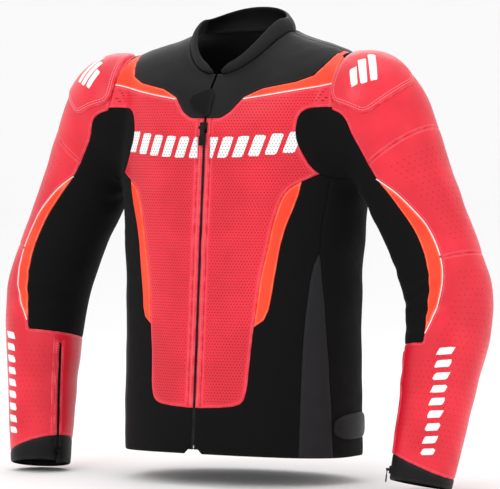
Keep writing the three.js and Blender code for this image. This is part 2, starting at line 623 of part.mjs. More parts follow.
const outsideHole = outwardOf(farWide);
const shoulderCup = patch(sleeveAt(CUP), sleeveAt(-4), [0.3, 1, 1.5, 2, 2.15], [-10, 0, 22.5, 45, 67.5, 80])
  .subtract(over)
  .intersect(outsideHole);
const SLEEVE_TURN = 360 / SLEEVE_SIDES;
const SLEEVE_STEP = CUFF_END / SLEEVE_STEPS;
const elbowArmour = patch(
  sleeveAt(-SHELL - GAP - 0.2),
  sleeveAt(-SHELL - GAP - ARMOUR),
  steps(5 * SLEEVE_STEP, 7 * SLEEVE_STEP, 2),
  steps(-3 * SLEEVE_TURN, SLEEVE_TURN, 4),
).intersect(belowElbow(-1, GAP));

// ---- The pieces, named ---------------------------------------------------------------------------------------------
const group = new THREE.Group();
group.name = "riding_jacket";
const TRIM = 0.2; // needless facets smaller than this are merged
const finishes = {
  red: [RED, 0.45, 0],
  orange: [ORANGE, 0.5, 0],
  leather: [BLACK, 0.55, 0],
  stretch: [STRETCH, 0.85, 0],
  grey: [GREY, 0.8, 0],
  metal: [METAL, 0.35, 0.9],
  foam: [FOAM, 0.9, 0],
};

function geometryFrom(solid) {
  const { vertProperties, triVerts, numProp } = solid.getMesh();
  const positions = [];
  for (let i = 0; i < vertProperties.length; i += numProp) positions.push(...vertProperties.slice(i, i + 3));
  const geometry = new THREE.BufferGeometry();
  geometry.setAttribute("position", new THREE.Float32BufferAttribute(positions, 3));
  geometry.setIndex(Array.from(triVerts));
  geometry.computeVertexNormals();
  return geometry;
}

function add(name, solid, finish) {
  const [color, roughness, metalness] = finishes[finish];
  const mesh = new THREE.Mesh(geometryFrom(solid.simplify(TRIM)), new THREE.MeshStandardMaterial({ color, roughness, metalness }));
  mesh.name = name;
  group.add(mesh);
  return mesh;
}

function addBoth(name, solid, finish) {
  add(`${name}_left`, solid, finish);
  add(`${name}_right`, solid, finish).scale.x = -1;
}

add("collar_back", collarBack, "leather");
addBoth("collar_front", collarFront, "grey");
addBoth("front_yoke", panelAhead([50, -30]), "leather");
add("back_yoke", panelBehind([0, -20]), "leather");
addBoth("shoulder_trim", panelAhead([130, -43]), "orange");
addBoth("chest_panel", panelAhead([50, -250]), "red");
addBoth("armpit_panel", panelAhead([150, -110]), "stretch");
addBoth("side_strip", panelAhead([109, -270]), "orange");
addBoth("side_insert", panelBeside([-78, -450]), "grey");
addBoth("front_side_panel", panelAhead([110, -450]), "leather");
addBoth("side_panel", panelBeside([10, -400]), "leather");
add("back_panel", panelBehind([0, -200]), "red");
add("lower_back_panel", panelBehind([0, -500]), "stretch");
addBoth("front_zip_half", leftSide.add(leftTape), "metal");
add("torso_lining", lining, "stretch");
add("back_protector", protector, "foam");
add("hanger_loop", hangerLoop, "leather");
add("connection_zip", connectionZip, "metal");
add("front_zip_slider", placed(sliderSolid(FRONT_ZIP, FRONT_CLOSED), frontZip), "metal");
add("front_zip_puller", placed(pullerSolid(FRONT_ZIP, FRONT_CLOSED), frontZip), "metal");
add("throat_flap", throatFlap, "leather");
addBoth("waist_tab", waistTab, "leather");

addBoth("shoulder_gusset", largest(shell.intersect(armholeBand)), "stretch");
addBoth("shoulder_cup", shoulderCup, "red");
addBoth("shoulder_panel", shoulderHead, "red");
addBoth("upper_arm_panel", upperArm, "red");
addBoth("inner_sleeve", innerSleeve, "stretch");
addBoth("arm_trim", armTrim, "orange");
addBoth("elbow_gusset", elbowGusset, "stretch");
addBoth("elbow_armour", elbowArmour, "foam");
const forearm = forearmShell.subtract(cuffSlot);
const cutForearm = forearm.subtract(cuffSeam);
addBoth("forearm_panel", pieceAt(cutForearm, sleeveProbe(9, 0)), "red");
addBoth("cuff", pieceAt(cutForearm, sleeveProbe(11.9, 0)), "leather");
addBoth("cuff_zip", cuffSides.add(cuffTape), "metal");
addBoth("cuff_slider", placed(sliderSolid(CUFF_ZIP, CUFF_CLOSED), cuffZip), "metal");
addBoth("cuff_puller", placed(pullerSolid(CUFF_ZIP, CUFF_CLOSED), cuffZip), "metal");

export default group;
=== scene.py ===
# A filled-out leather riding jacket in red, black and orange panels, cut and sewn over one smooth skin.
# Metres, +Z up; the front faces -Y and the wearer's left is +X.
import math
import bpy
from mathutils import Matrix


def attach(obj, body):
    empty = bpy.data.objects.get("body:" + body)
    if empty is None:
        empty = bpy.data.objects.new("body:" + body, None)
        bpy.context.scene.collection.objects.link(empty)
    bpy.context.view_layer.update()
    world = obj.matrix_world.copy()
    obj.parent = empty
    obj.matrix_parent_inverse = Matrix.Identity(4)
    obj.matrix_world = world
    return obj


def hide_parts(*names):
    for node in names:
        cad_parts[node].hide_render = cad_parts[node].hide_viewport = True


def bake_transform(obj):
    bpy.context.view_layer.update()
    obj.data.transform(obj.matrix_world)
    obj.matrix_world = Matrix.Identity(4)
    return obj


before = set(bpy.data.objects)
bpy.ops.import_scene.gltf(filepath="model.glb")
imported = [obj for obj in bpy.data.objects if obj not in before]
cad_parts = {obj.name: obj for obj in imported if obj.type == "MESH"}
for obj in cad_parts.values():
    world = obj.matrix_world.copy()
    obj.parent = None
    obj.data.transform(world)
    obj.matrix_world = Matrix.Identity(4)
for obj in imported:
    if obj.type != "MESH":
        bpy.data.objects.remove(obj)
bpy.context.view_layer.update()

import bpy
import numpy as np
from mathutils import Vector
from mathutils.bvhtree import BVHTree

MM = 0.001

# ---- The form: rings up the body and down the sleeve, in millimetres -----------------------------


def front_depth(z):
    return 117 + 0.0745 * (-z - 100)


# Half width, front depth, back depth, then the ring's height at front, side and back.
BODY_RINGS = np.array(
    [
        [179, front_depth(-566), 128, -566, -574, -584],
        [180, front_depth(-480), 120, -480, -483, -487],
        [181, front_depth(-360), 112, -360, -360, -360],
        [185, front_depth(-272), 115, -272, -272, -272],
        [191, front_depth(-207), 121, -207, -207, -207],
        [196, front_depth(-150), 124, -150, -150, -150],
        [198, 117, 122, -100, -98, -98],
        [196, 111.5, 115, -74, -38, -45],
        [183, 103.5, 101, -56, 1, -6],
        [143, 95, 87, -43, 17, 18],
        [105, 87, 73, -33, 27, 33],
        [76, 80, 62, -25, 38, 45],
    ]
)
NECK = 11
# Centre x, y, z, the dip and forward lean of the axis in degrees, the radius across and the radius
# fore and aft.
SLEEVE_RINGS = np.array(
    [
        [150, -4, -82, 4, 0, 84, 66],
        [202, -4, -84, 14, 0, 90, 80],
        [229, -4, -102, 35, 0, 83, 75],
        [252, -4, -143, 53, 0, 72, 69],
        [276, -4, -197, 63, 0, 65, 65],
        [303, -4, -252, 68, 2, 62, 62],
        [323, -5, -300, 72, 4, 62, 62],
        [337, -8, -345, 80, 7, 62, 63],
        [339, -16, -395, 88, 10, 59, 60],
        [334, -28, -450, 92, 12, 54, 56],
        [329, -39, -505, 94, 12, 50, 51],
        [323, -51, -560, 95, 12, 47, 47],
        [319, -60, -602, 95, 12, 45, 44],
    ],
    float,
)
CUFF_END = 12
SQUARENESS = 0.92


def spline(rows, t):
    last = len(rows) - 1
    t = np.clip(t, 0, last)
    i = np.minimum(t.astype(int), last - 1)
    f = (t - i)[..., None]
    p1 = rows[i]
    p2 = rows[i + 1]
    p0 = np.where((i > 0)[..., None], rows[np.maximum(i - 1, 0)], 2 * p1 - p2)
    p3 = np.where((i < last - 1)[..., None], rows[np.minimum(i + 2, last)], 2 * p2 - p1)
    square = (2 * p0 - 5 * p1 + 4 * p2 - p3) * f**2
    cube = (3 * p1 - p0 - 3 * p2 + p3) * f**3
    return 0.5 * (2 * p1 + (p2 - p0) * f + square + cube)


def unit(v):
    return v / np.maximum(np.linalg.norm(v, axis=-1, keepdims=True), 1e-12)


def smooth(x):
    x = np.clip(x, 0, 1)
    return x * x * (3 - 2 * x)


def rounded(value):
    return np.sign(value) * np.abs(value) ** SQUARENESS


def body(angle, level):
    """The body's surface: degrees from the front centre to the wearer's left, and rings up from the hem."""
    angle, level = np.broadcast_arrays(np.asarray(angle, float), np.asarray(level, float))
    ring = spline(BODY_RINGS, level)
    s = np.sin(np.radians(angle))
    c = np.cos(np.radians(angle))
    ahead = c > 0
    side = ring[..., 4]
    z = side + (np.where(ahead, ring[..., 3], ring[..., 5]) - side) * np.abs(c) ** 1.6
    z = z + 50 * np.minimum(level, 0) + 30 * np.maximum(level - NECK, 0)
    x = ring[..., 0] * rounded(s)
    y = -np.where(ahead, ring[..., 1], ring[..., 2]) * rounded(c)
    return np.stack([x, y, z], -1) * MM


def sleeve_frame(s):
    s = np.asarray(s, float)
    ring = spline(SLEEVE_RINGS, s)
    t = np.radians(ring[..., 3])
    p = np.radians(ring[..., 4])
    axis = np.stack([np.cos(t) * np.cos(p), -np.sin(p), -np.sin(t) * np.cos(p)], -1)
    out = np.stack([np.sin(t), 0 * t, np.cos(t)], -1)
    fore = np.cross(out, axis)
    fore = np.where(fore[..., 1:2] > 0, -fore, fore)
    centre = ring[..., :3] * MM + axis * np.maximum(s - CUFF_END, 0)[..., None] * 0.046
    return centre, axis, out, fore, ring[..., 5] * MM, ring[..., 6] * MM


def sleeve(s, angle):
    """The left sleeve's surface: rings down from the armhole, and degrees from its outer line forwards."""
    s, angle = np.broadcast_arrays(np.asarray(s, float), np.asarray(angle, float))
    centre, _, out, fore, across, along = sleeve_frame(s)
    a = np.radians(angle)[..., None]
    return centre + out * across[..., None] * np.cos(a) + fore * along[..., None] * np.sin(a)


# ---- The skin: body and both sleeves joined into one surface -------------------------------------


def closed_tube(rings):
    rows, around = rings.shape[:2]
    points = [tuple(p) for p in rings.reshape(-1, 3)]
    faces = []
    for i in range(rows - 1):
        for j in range(around):
            k = (j + 1) % around
            faces.append((i * around + j, i * around + k, (i + 1) * around + k, (i + 1) * around + j))
    faces.append(tuple(reversed(range(around))))
    faces.append(tuple(range((rows - 1) * around, rows * around)))
    return points, faces


def remeshed(tubes, size):
    points = []
    faces = []
    for more, sides in tubes:
        start = len(points)
        points += more
        faces += [tuple(start + i for i in face) for face in sides]
    mesh = bpy.data.meshes.new("skin")
    mesh.from_pydata(points, [], faces)
    holder = bpy.data.objects.new("skin", mesh)
    bpy.context.scene.collection.objects.link(holder)
    joiner = holder.modifiers.new("join", "REMESH")
    joiner.mode = "VOXEL"
    joiner.voxel_size = size
    done = holder.evaluated_get(bpy.context.evaluated_depsgraph_get()).to_mesh()
    places = np.empty(len(done.vertices) * 3)
    done.vertices.foreach_get("co", places)
    done.calc_loop_triangles()
    tris = np.empty(len(done.loop_triangles) * 3, int)
    done.loop_triangles.foreach_get("vertices", tris)
    bpy.data.objects.remove(holder)
    bpy.data.meshes.remove(mesh)
    return places.reshape(-1, 3), tris.reshape(-1, 3)


def edges_of(tris):
    pairs = np.sort(np.concatenate([tris[:, [0, 1]], tris[:, [1, 2]], tris[:, [2, 0]]]), axis=1)
    return np.unique(pairs, axis=0)


def relaxed(places, tris, strength, rounds):
    """Each point drawn towards the mean of its neighbours."""
    a, b = edges_of(tris).T
    count = np.bincount(np.concatenate([a, b]), minlength=len(places))[:, None]
    for _ in range(rounds):
        total = np.stack(
            [
                np.bincount(
                    a, places[b, k], len(places)
                ) + np.bincount(b, places[a, k], len(places)) for k in range(3)
            ], 1
        )
        places = places + (total / np.maximum(count, 1) - places) * strength
    return places


def point_normals(places, tris):
    a, b, c = places[tris[:, 0]], places[tris[:, 1]], places[tris[:, 2]]
    flat = np.cross(b - a, c - a)
    return unit(
        np.stack(
            [sum(np.bincount(tris[:, i], flat[:, k], len(places)) for i in range(3)) for k in range(3)],
            1,
        )
    )


around = np.linspace(0, 360, 145)[:-1]
body_tube = closed_tube(body(around[None], np.linspace(-0.9, NECK + 1, 100)[:, None]))
sleeve_grid = sleeve(np.linspace(0, CUFF_END + 1, 150)[:, None], around[None, ::2])
sleeve_tubes = [closed_tube(sleeve_grid * [side, 1, 1]) for side in (1, -1)]
sleeve_tubes[1] = (sleeve_tubes[1][0], [tuple(reversed(face)) for face in sleeve_tubes[1][1]])
skin, skin_tris = remeshed([body_tube, *sleeve_tubes], 0.0042)

# The armhole's plane, and a line in it about which the run round the armhole is measured.
SHOULDER_TOP = np.array([0.178, 0.0, 0.008])
HOLE_OUT = np.array([0.2, 0.0, 0.019]) / math.hypot(0.2, 0.019)
LIFT_LINE = np.array([0.183985, 0.0, -0.055])


def past_armhole(p):
    return (p - SHOULDER_TOP) @ HOLE_OUT


def both_sided(p):
    return np.abs(p) * [1, 0, 0] + p * [0, 1, 1]


near_hole = 1 - smooth(np.abs(past_armhole(both_sided(skin))) / 0.03)
skin = relaxed(skin, skin_tris, 0.5, 6)
skin = relaxed(skin, skin_tris, 0.5 * near_hole[:, None], 30)

ARC_ANGLES = np.linspace(-180, 180, 721)
_ring = body(ARC_ANGLES, 4.0)
ARC = np.concatenate([[0], np.cumsum(np.linalg.norm(np.diff(_ring, axis=0), axis=1))])
ARC -= np.interp(0, ARC_ANGLES, ARC)


def body_chart(p):
    """The angle and level of points on the body."""
    q = p / MM
    level = np.interp(q[:, 2], BODY_RINGS[:, 4], np.arange(12.0))
    for _ in range(14):
        ring = spline(BODY_RINGS, level)
        s = np.abs(q[:, 0] / ring[:, 0]) ** (1 / SQUARENESS) * np.sign(q[:, 0])
        d = np.where(q[:, 1] < 0, ring[:, 1], ring[:, 2])
        c = np.abs(q[:, 1] / d) ** (1 / SQUARENESS) * -np.sign(q[:, 1])
        angle = np.degrees(np.arctan2(s, c))
        here = body(angle, level)[:, 2] / MM
        slope = (body(angle, level + 0.05)[:, 2] / MM - body(angle, level - 0.05)[:, 2] / MM) / 0.1
        level = np.clip(level + np.clip((q[:, 2] - here) / np.maximum(slope, 5), -0.6, 0.6), -0.9, NECK + 1)
    return angle, level


S_STEPS = np.linspace(0, CUFF_END + 0.9, 380)
S_CENTRE, S_AXIS = sleeve_frame(S_STEPS)[:2]
S_RUN = np.concatenate([[0], np.cumsum(np.linalg.norm(np.diff(S_CENTRE, axis=0), axis=1))])


def sleeve_chart(p):
    """The ring and angle of points on the left sleeve."""
    rings = np.empty(len(p))
    angles = np.empty(len(p))
    for start in range(0, len(p), 6000):
        q = p[start : start + 6000]
        ahead = q @ S_AXIS.T - (S_CENTRE * S_AXIS).sum(1)
        crossing = (ahead[:, :-1] >= 0) & (ahead[:, 1:] < 0)
        far = np.linalg.norm(q[:, None] - S_CENTRE[None], axis=2)
        best = np.where(crossing, far[:, :-1], far[:, :-1] + 1).argmin(1)
        pick = np.arange(len(q))
        a = ahead[pick, best]
        b = ahead[pick, best + 1]
        f = np.clip(a / np.where(a - b == 0, 1, a - b), 0, 1)
        s = S_STEPS[best] + f * (S_STEPS[1] - S_STEPS[0])
        centre, _, out, fore, across, along = sleeve_frame(s)
        r = q - centre
        rings[start : start + 6000] = s
        angles[start : start + 6000] = np.degrees(
            np.arctan2((r * fore).sum(1) / along, (r * out).sum(1) / across)
        )
    return rings, angles % 360


def soft_waves(p, length, seed):
    """A slow, aimless swell between -1 and 1, the same on both sides."""
    rng = np.random.default_rng(seed)
    q = both_sided(p)
    total = 0
    for _ in range(7):
        turn = unit(rng.normal(size=3)) * 2 * math.pi / (length * rng.uniform(0.7, 1.6))
        total = total + np.sin(q @ turn + rng.uniform(0, 6.3))
    return total / 4


# Folds pressed into the sleeves: ring, angle, half length round the arm in degrees, half width in
# rings, depth in mm.
SLEEVE_FOLDS = [
    [6.35, 100, 46, 0.13, 1.6],
    [6.8, 118, 60, 0.14, 2.4],
    [7.22, 96, 52, 0.13, 2.0],
    [7.65, 128, 48, 0.15, 1.8],
    [5.7, 140, 40, 0.16, 1.3],
    [3.1, 150, 46, 0.2, 2.0],
    [3.75, 170, 40, 0.2, 1.6],
    [8.9, 150, 34, 0.16, 1.1],
    [9.7, 110, 32, 0.18, 0.9],
    [4.9, 330, 36, 0.3, 0.9],
    [6.9, 290, 40, 0.2, 1.0],
]


def folded(p):
    """How far folds and swells move each point of the skin along its normal."""
    q = both_sided(p)
    move = 0.0007 * soft_waves(p, 0.09, 4) + 0.0003 * soft_waves(p, 0.035, 9)
    arm = past_armhole(q) > 0
    s, angle = sleeve_chart(q[arm])
    sink = np.zeros(arm.sum())
    for ring, middle, reach, half, deep in SLEEVE_FOLDS:
        turn = (angle - middle + 180) % 360 - 180
        drift = 0.18 * np.sin(np.radians(turn * 1.6) + ring)
        along = (s - ring - drift) / half
        profile = np.exp(-(along**2)) - 0.45 * np.exp(-((np.abs(along) - 1.9) ** 2) / 0.8)
        sink += deep * MM * profile * (1 - smooth(np.abs(turn) / reach))
    move[arm] -= sink
    angle, level = body_chart(q[~arm])
    side = np.exp(-(((np.abs(angle) - 92) / 22) ** 2))
    z = q[~arm][:, 2]
    drape = 1.3 * np.sin((z + 0.02 * np.sin(np.radians(angle * 3))) * 2 * math.pi / 0.085)
    move[~arm] -= MM * drape * side * smooth((-0.2 - z) / 0.03) * smooth((z + 0.5) / 0.08)
    return move


skin = skin + point_normals(skin, skin_tris) * folded(skin)[:, None]
skin_normals = point_normals(skin, skin_tris)
skin_tree = BVHTree.FromPolygons(skin.tolist(), skin_tris.tolist())

# ---- Seams: lines over the skin ------------------------------------------------------------------


def corners_cut(points, rounds, closed=False):
    points = np.asarray(points, float)
    for _ in range(rounds):
        after = np.roll(points, -1, 0) if closed else points[1:]
        before = points if closed else points[:-1]
        mixed = np.stack(
            [0.78 * before + 0.22 * after, 0.22 * before + 0.78 * after], 1
        ).reshape(-1, points.shape[1])
        points = mixed if closed else np.concatenate([points[:1], mixed[1:-1], points[-1:]])
    return points


def finely(points, step, closed=False):
    if closed:
        points = np.concatenate([points, points[:1]])
    rows = []
    for a, b in zip(points[:-1], points[1:]):
        count = max(1, int(math.ceil(np.linalg.norm(b - a) / step)))
        rows += [a + (b - a) * k / count for k in range(count)]
    rows.append(points[-1])
    return np.array(rows)


def laid_from(points, direction):
    """Points [x, z] dropped on to the skin from the front (-1) or from the back (1)."""
    rows = []
    for x, z in points:
        hit = skin_tree.ray_cast(Vector((x * MM, direction, z * MM)), Vector((0, -direction, 0)))
        if hit[0] is not None and hit[0].y * direction > -0.02:
            rows.append((hit[0], hit[1]))
    return rows


def laid_near(points):
    return [skin_tree.find_nearest(Vector(p))[:2] for p in points]


def body_level(angle, z):
    levels = np.linspace(-0.9, NECK, 400)
    return float(np.interp(z, body(angle, levels)[:, 2] / MM, levels))


class Seam:
    """A line sewn over the skin: measures how far points lie to its left, and how far along it they are."""

    def __init__(self, rows, closed=False, reach=0.05):
        p = np.array([list(a) for a, _ in rows])
        n = np.array([list(b) for _, b in rows])
        n = unit(n)
        keep = np.concatenate([[True], np.linalg.norm(np.diff(p, axis=0), axis=1) > 2e-4])
        p, n = p[keep], n[keep]
        if not closed:
            first = unit(p[0] - p[min(3, len(p) - 1)])
            final = unit(p[-1] - p[max(-4, -len(p))])
            p = np.concatenate([[p[0] + first * reach], p, [p[-1] + final * reach]])
            n = np.concatenate([n[:1], n, n[-1:]])
        self.p = p
        self.n = n
        step = unit(np.diff(p, axis=0))
        if closed:
            self.t = unit(np.concatenate([[step[0] + step[-1]], step[1:] + step[:-1], [step[0] + step[-1]]]))
        else:
            self.t = unit(np.concatenate([step[:1], step[1:] + step[:-1], step[-1:]]))
        self.size = np.linalg.norm(np.diff(p, axis=0), axis=1)
        self.run = np.concatenate([[0], np.cumsum(self.size)])

    def __call__(self, places):
        side = np.empty(len(places))
        run = np.empty(len(places))
        a = self.p[:-1]
        ab = np.diff(self.p, axis=0)
        for start in range(0, len(places), 8000):
            q = places[start : start + 8000]
            d = q[:, None] - a[None]
            f = np.clip((d * ab).sum(2) / self.size**2, 0, 1)
            gap = d - f[..., None] * ab
            j = (gap**2).sum(2).argmin(1)
            pick = np.arange(len(q))
            f = f[pick, j][:, None]
            gap = gap[pick, j]
            tangent = self.t[j] * (1 - f) + self.t[j + 1] * f
            normal = self.n[j] * (1 - f) + self.n[j + 1] * f
            left = (np.cross(normal, tangent) * gap).sum(1)
            side[start : start + 8000] = np.where(left >= 0, 1, -1) * np.linalg.norm(gap, axis=1)
            run[start : start + 8000] = self.run[j] + f[:, 0] * self.size[j]
        return side, run


def front_line(points, rounds=1):
    return Seam(laid_from(finely(corners_cut(points, rounds), 4), -1))


def back_line(points, rounds=1):
    return Seam(laid_from(finely(corners_cut(points, rounds), 4), 1))


def side_line(points):
    rows = finely(corners_cut(points, 1), 4)
    return Seam(laid_near([body(a, body_level(a, z)) for a, z in rows]))


def arm_line(points, closed=False, rounds=2):
    rows = corners_cut(points, rounds, closed)
    rows = finely(rows * [40, 1], 3, closed) / [40, 1]
    return Seam(laid_near(sleeve(rows[:, 0], rows[:, 1])), closed)


def flipped(line):
    def measure(p):
        side, run = line(p)
        return -side, run

    return measure


def closer(*lines):
    """The line that lies nearest decides."""

    def measure(p):
        sides, runs = zip(*(line(p) for line in lines))
        best = np.abs(np.array(sides)).argmin(0)
        pick = np.arange(len(p))
        return np.array(sides)[best, pick], np.array(runs)[best, pick]

    return measure


def plane(point, direction, along=(0, 1, 0)):
    direction = unit(np.array(direction, float))

    def measure(p):
        return (p - point) @ direction, p @ unit(np.array(along, float))

    return measure


def ring_plane(s):
    """Points farther down the sleeve than a ring are positive."""
    centre, axis, out, fore, across, _ = sleeve_frame(s)

    def measure(p):
        r = p - centre
        return r @ axis, np.arctan2(r @ fore, r @ out) * float(across)

    return measure


YOKE_EDGE = [[-1, -88], [32, -87], [63, -49], [147, -32], [161, -8], [163, -1]]
TRIM_EDGE = [[53, -60.8], [110, -52], [196, -36]]
CHEST_SIDE = [[196, -72], [152, -72], [138, -81], [134, -105], [137, -124], [160, -169], [194, -176]]
CHEST_EDGE = [
    [160.5, -168.7],
    [122, -189],
    [108, -235],
    [102, -270],
    [92, -316],
    [86, -384],
    [82, -425],
    [79, -484],
    [66, -498],
    [-1, -501],
]
STRIP_EDGE = [[143.2, -177], [139, -200], [120, -255], [111, -316], [103, -372], [84.6, -385]]
BACK_YOKE_EDGE = [[-185, -88], [-110, -84], [0, -74], [110, -84], [185, -88]]
BACK_EDGE = [[-180, -330], [-90, -330], [-60, -400], [60, -400], [90, -330], [180, -330]]
FRONT_SIDE_SEAM = [
    [52, -600], [52, -488], [53, -387], [56, -302], [60.5, -277], [60, -245], [62, -200], [63, -170]
]
INSERT_REAR = [[59.4, -281.5], [61, -284], [66, -360], [71, -476], [75, -600]]
SIDE_SEAM = [[112, -130], [114, -250], [113, -400], [116, -560], [117, -600]]
SIDE_CURVE = [[60.4, -246], [70, -262], [84, -281], [94, -306], [100, -345], [104, -420]]
STRETCH_FRONT = [
    [0.2, 84], [1, 88], [2, 103], [3, 103], [3.5, 100], [4.1, 90], [5, 80], [6, 80], [7.4, 95],
    [8.1, 97.4], [8.25, 97.9], [8.3, 98.1]
]
STRETCH_BACK = [[0.2, 268], [1, 266], [3, 258], [7.4, 250], [8.3, 248]]
ARM_TRIM_EDGE = [
    [3.42, 101.5], [3.5, 99], [4, 82], [4.5, 71], [5, 62], [5.7, 60], [6.3, 63], [7.4, 80], [8.12, 97.2]
]
STRETCH_FOOT = [[8.3, 98.1], [8.3, 104], [8.3, 150], [8.3, 200], [8.3, 248]]

yoke_line = front_line(YOKE_EDGE)
trim_line = front_line(TRIM_EDGE)
chest_side = front_line(CHEST_SIDE, 2)
chest_edge = front_line(CHEST_EDGE, 2)
strip_edge = front_line(STRIP_EDGE)
back_yoke_line = back_line(BACK_YOKE_EDGE)
back_edge = back_line(BACK_EDGE, 2)
front_side_seam = side_line(FRONT_SIDE_SEAM)
insert_rear = side_line(INSERT_REAR)
side_seam = side_line(SIDE_SEAM)
stretch_front = arm_line(STRETCH_FRONT)
stretch_back = arm_line(STRETCH_BACK)
arm_trim_line = arm_line(ARM_TRIM_EDGE)
stretch_foot = arm_line(STRETCH_FRONT[5:] + STRETCH_FOOT[1:] + STRETCH_BACK[::-1][1:3], rounds=2)
inner_foot = arm_line(
    ARM_TRIM_EDGE[4:-1] + [
        [7.95, 94], [8.1, 97.4], [8.25, 97.9], [8.3, 98.1]
    ] + STRETCH_FOOT[1:] + STRETCH_BACK[::-1][1:3],
    rounds=2,
)


def hem(p):
    angle, _ = body_chart(p)
    return p[:, 2] - body(angle, 0)[:, 2], np.interp(angle, ARC_ANGLES, ARC)


def neck(p):
    angle, level = body_chart(p)
    return (NECK - level) * 0.016, np.interp(angle, ARC_ANGLES, ARC)


def armhole(p):
    r = p - LIFT_LINE
    return (p - SHOULDER_TOP) @ HOLE_OUT, np.arctan2(r[:, 1], r[:, 2]) * 0.08


def zip_edge(distance):
    return plane((distance, 0, 0), (1, 0, 0), (0, 0, 1))


# ---- Cutting pieces from the skin ----------------------------------------------------------------


class Cut:
    """A part of the skin: points, normals and triangles."""

    def __init__(self, points, normals, tris):
        used = np.unique(tris)
        new = np.full(len(points), -1)
        new[used] = np.arange(len(used))
        self.points = points[used]
        self.normals = normals[used]
        self.tris = new[tris]

    def sliced(self, field, both=False):
        """Cut where the field is zero; what is positive is kept, or all of it with both."""
        field = np.where(np.abs(field) < 2e-5, 0, field)
        t = self.tris
        good = (field >= 0)[t]
        count = good.sum(1)
        kept = [t[count == 3]]
        if both:
            kept.append(t[count == 0])
        lone = (count == 1) | (count == 2)
        t = t[lone]
        good = good[lone]
        count = count[lone]
        odd = np.where(count[:, None] == 1, good, ~good).argmax(1)
        pick = np.arange(len(t))
        a, b, c = t[pick, odd], t[pick, (odd + 1) % 3], t[pick, (odd + 2) % 3]
        pairs = np.sort(np.concatenate([np.stack([a, b], 1), np.stack([a, c], 1)]), axis=1)
        unique, place = np.unique(pairs, axis=0, return_inverse=True)
        place = place.reshape(-1) + len(self.points)
        low, high = unique.T
        f = (field[low] / (field[low] - field[high]))[:, None]
        points = np.concatenate([self.points, self.points[low] * (1 - f) + self.points[high] * f])
        normals = np.concatenate([self.normals, unit(self.normals[low] * (1 - f) + self.normals[high] * f)])
        ab, ac = place[: len(t)], place[len(t) :]
        tip = np.stack([a, ab, ac], 1)
        rest = np.concatenate([np.stack([ab, b, c], 1), np.stack([ab, c, ac], 1)])
        alone = count == 1
        kept.append(tip[alone])
        kept.append(rest[np.tile(~alone, 2)])
        if both:
            kept.append(tip[~alone])
            kept.append(rest[np.tile(alone, 2)])
        tris = np.concatenate(kept)
        a, b, c = points[tris[:, 0]], points[tris[:, 1]], points[tris[:, 2]]
        area = np.linalg.norm(np.cross(b - a, c - a), axis=1)
        return Cut(points, normals, tris[area > 1e-12])

    def largest(self):
        """Only the biggest connected part."""
        label = np.arange(len(self.points))
        a, b = edges_of(self.tris).T
        while True:
            low = np.minimum(label[a], label[b])
            new = label.copy()
            np.minimum.at(new, a, low)
            np.minimum.at(new, b, low)
            new = new[new]
            if (new == label).all():
                break
            label = new
        names, counts = np.unique(label[self.tris[:, 0]], return_counts=True)
        return Cut(self.points, self.normals, self.tris[label[self.tris[:, 0]] == names[counts.argmax()]])


left_half = Cut(skin, skin_normals, skin_tris[(skin[skin_tris][:, :, 0] > -0.002).all(1)])
whole = Cut(skin, skin_normals, skin_tris)
trunk = left_half.sliced(0.004 - past_armhole(left_half.points))
front_face = whole.sliced(-whole.points[:, 1])
back_face = whole.sliced(whole.points[:, 1] + 0.01)
SEAM_GAP = 0.00012


def cut_out(base, sewn, plain=()):
    """The part of the skin inside all the lines. Sewn lines become rolled seams, plain ones end the piece."""
    piece = base
    for line in [*sewn, *plain]:
        gap = SEAM_GAP if line in sewn else 0
        piece = piece.sliced(line(piece.points)[0] - gap)
    return piece.largest()


def edge_and_run(points, sewn):
    sides, runs = zip(*(line(points) for line in sewn))
    sides = np.array(sides)
    best = sides.argmin(0)
    pick = np.arange(len(points))
    return np.maximum(sides[best, pick], 0), np.array(runs)[best, pick]


def place_on_cloth(points, arm):
    """Metric coordinates over the cloth, for holes and weave."""
    if arm:
        s, angle = sleeve_chart(points)
        return np.stack([np.radians(angle) * 0.06, -np.interp(s, S_STEPS, S_RUN), 0 * s], 1)
    angle, _ = body_chart(points)
    return np.stack([np.interp(angle, ARC_ANGLES, ARC), points[:, 2], 0 * angle], 1)


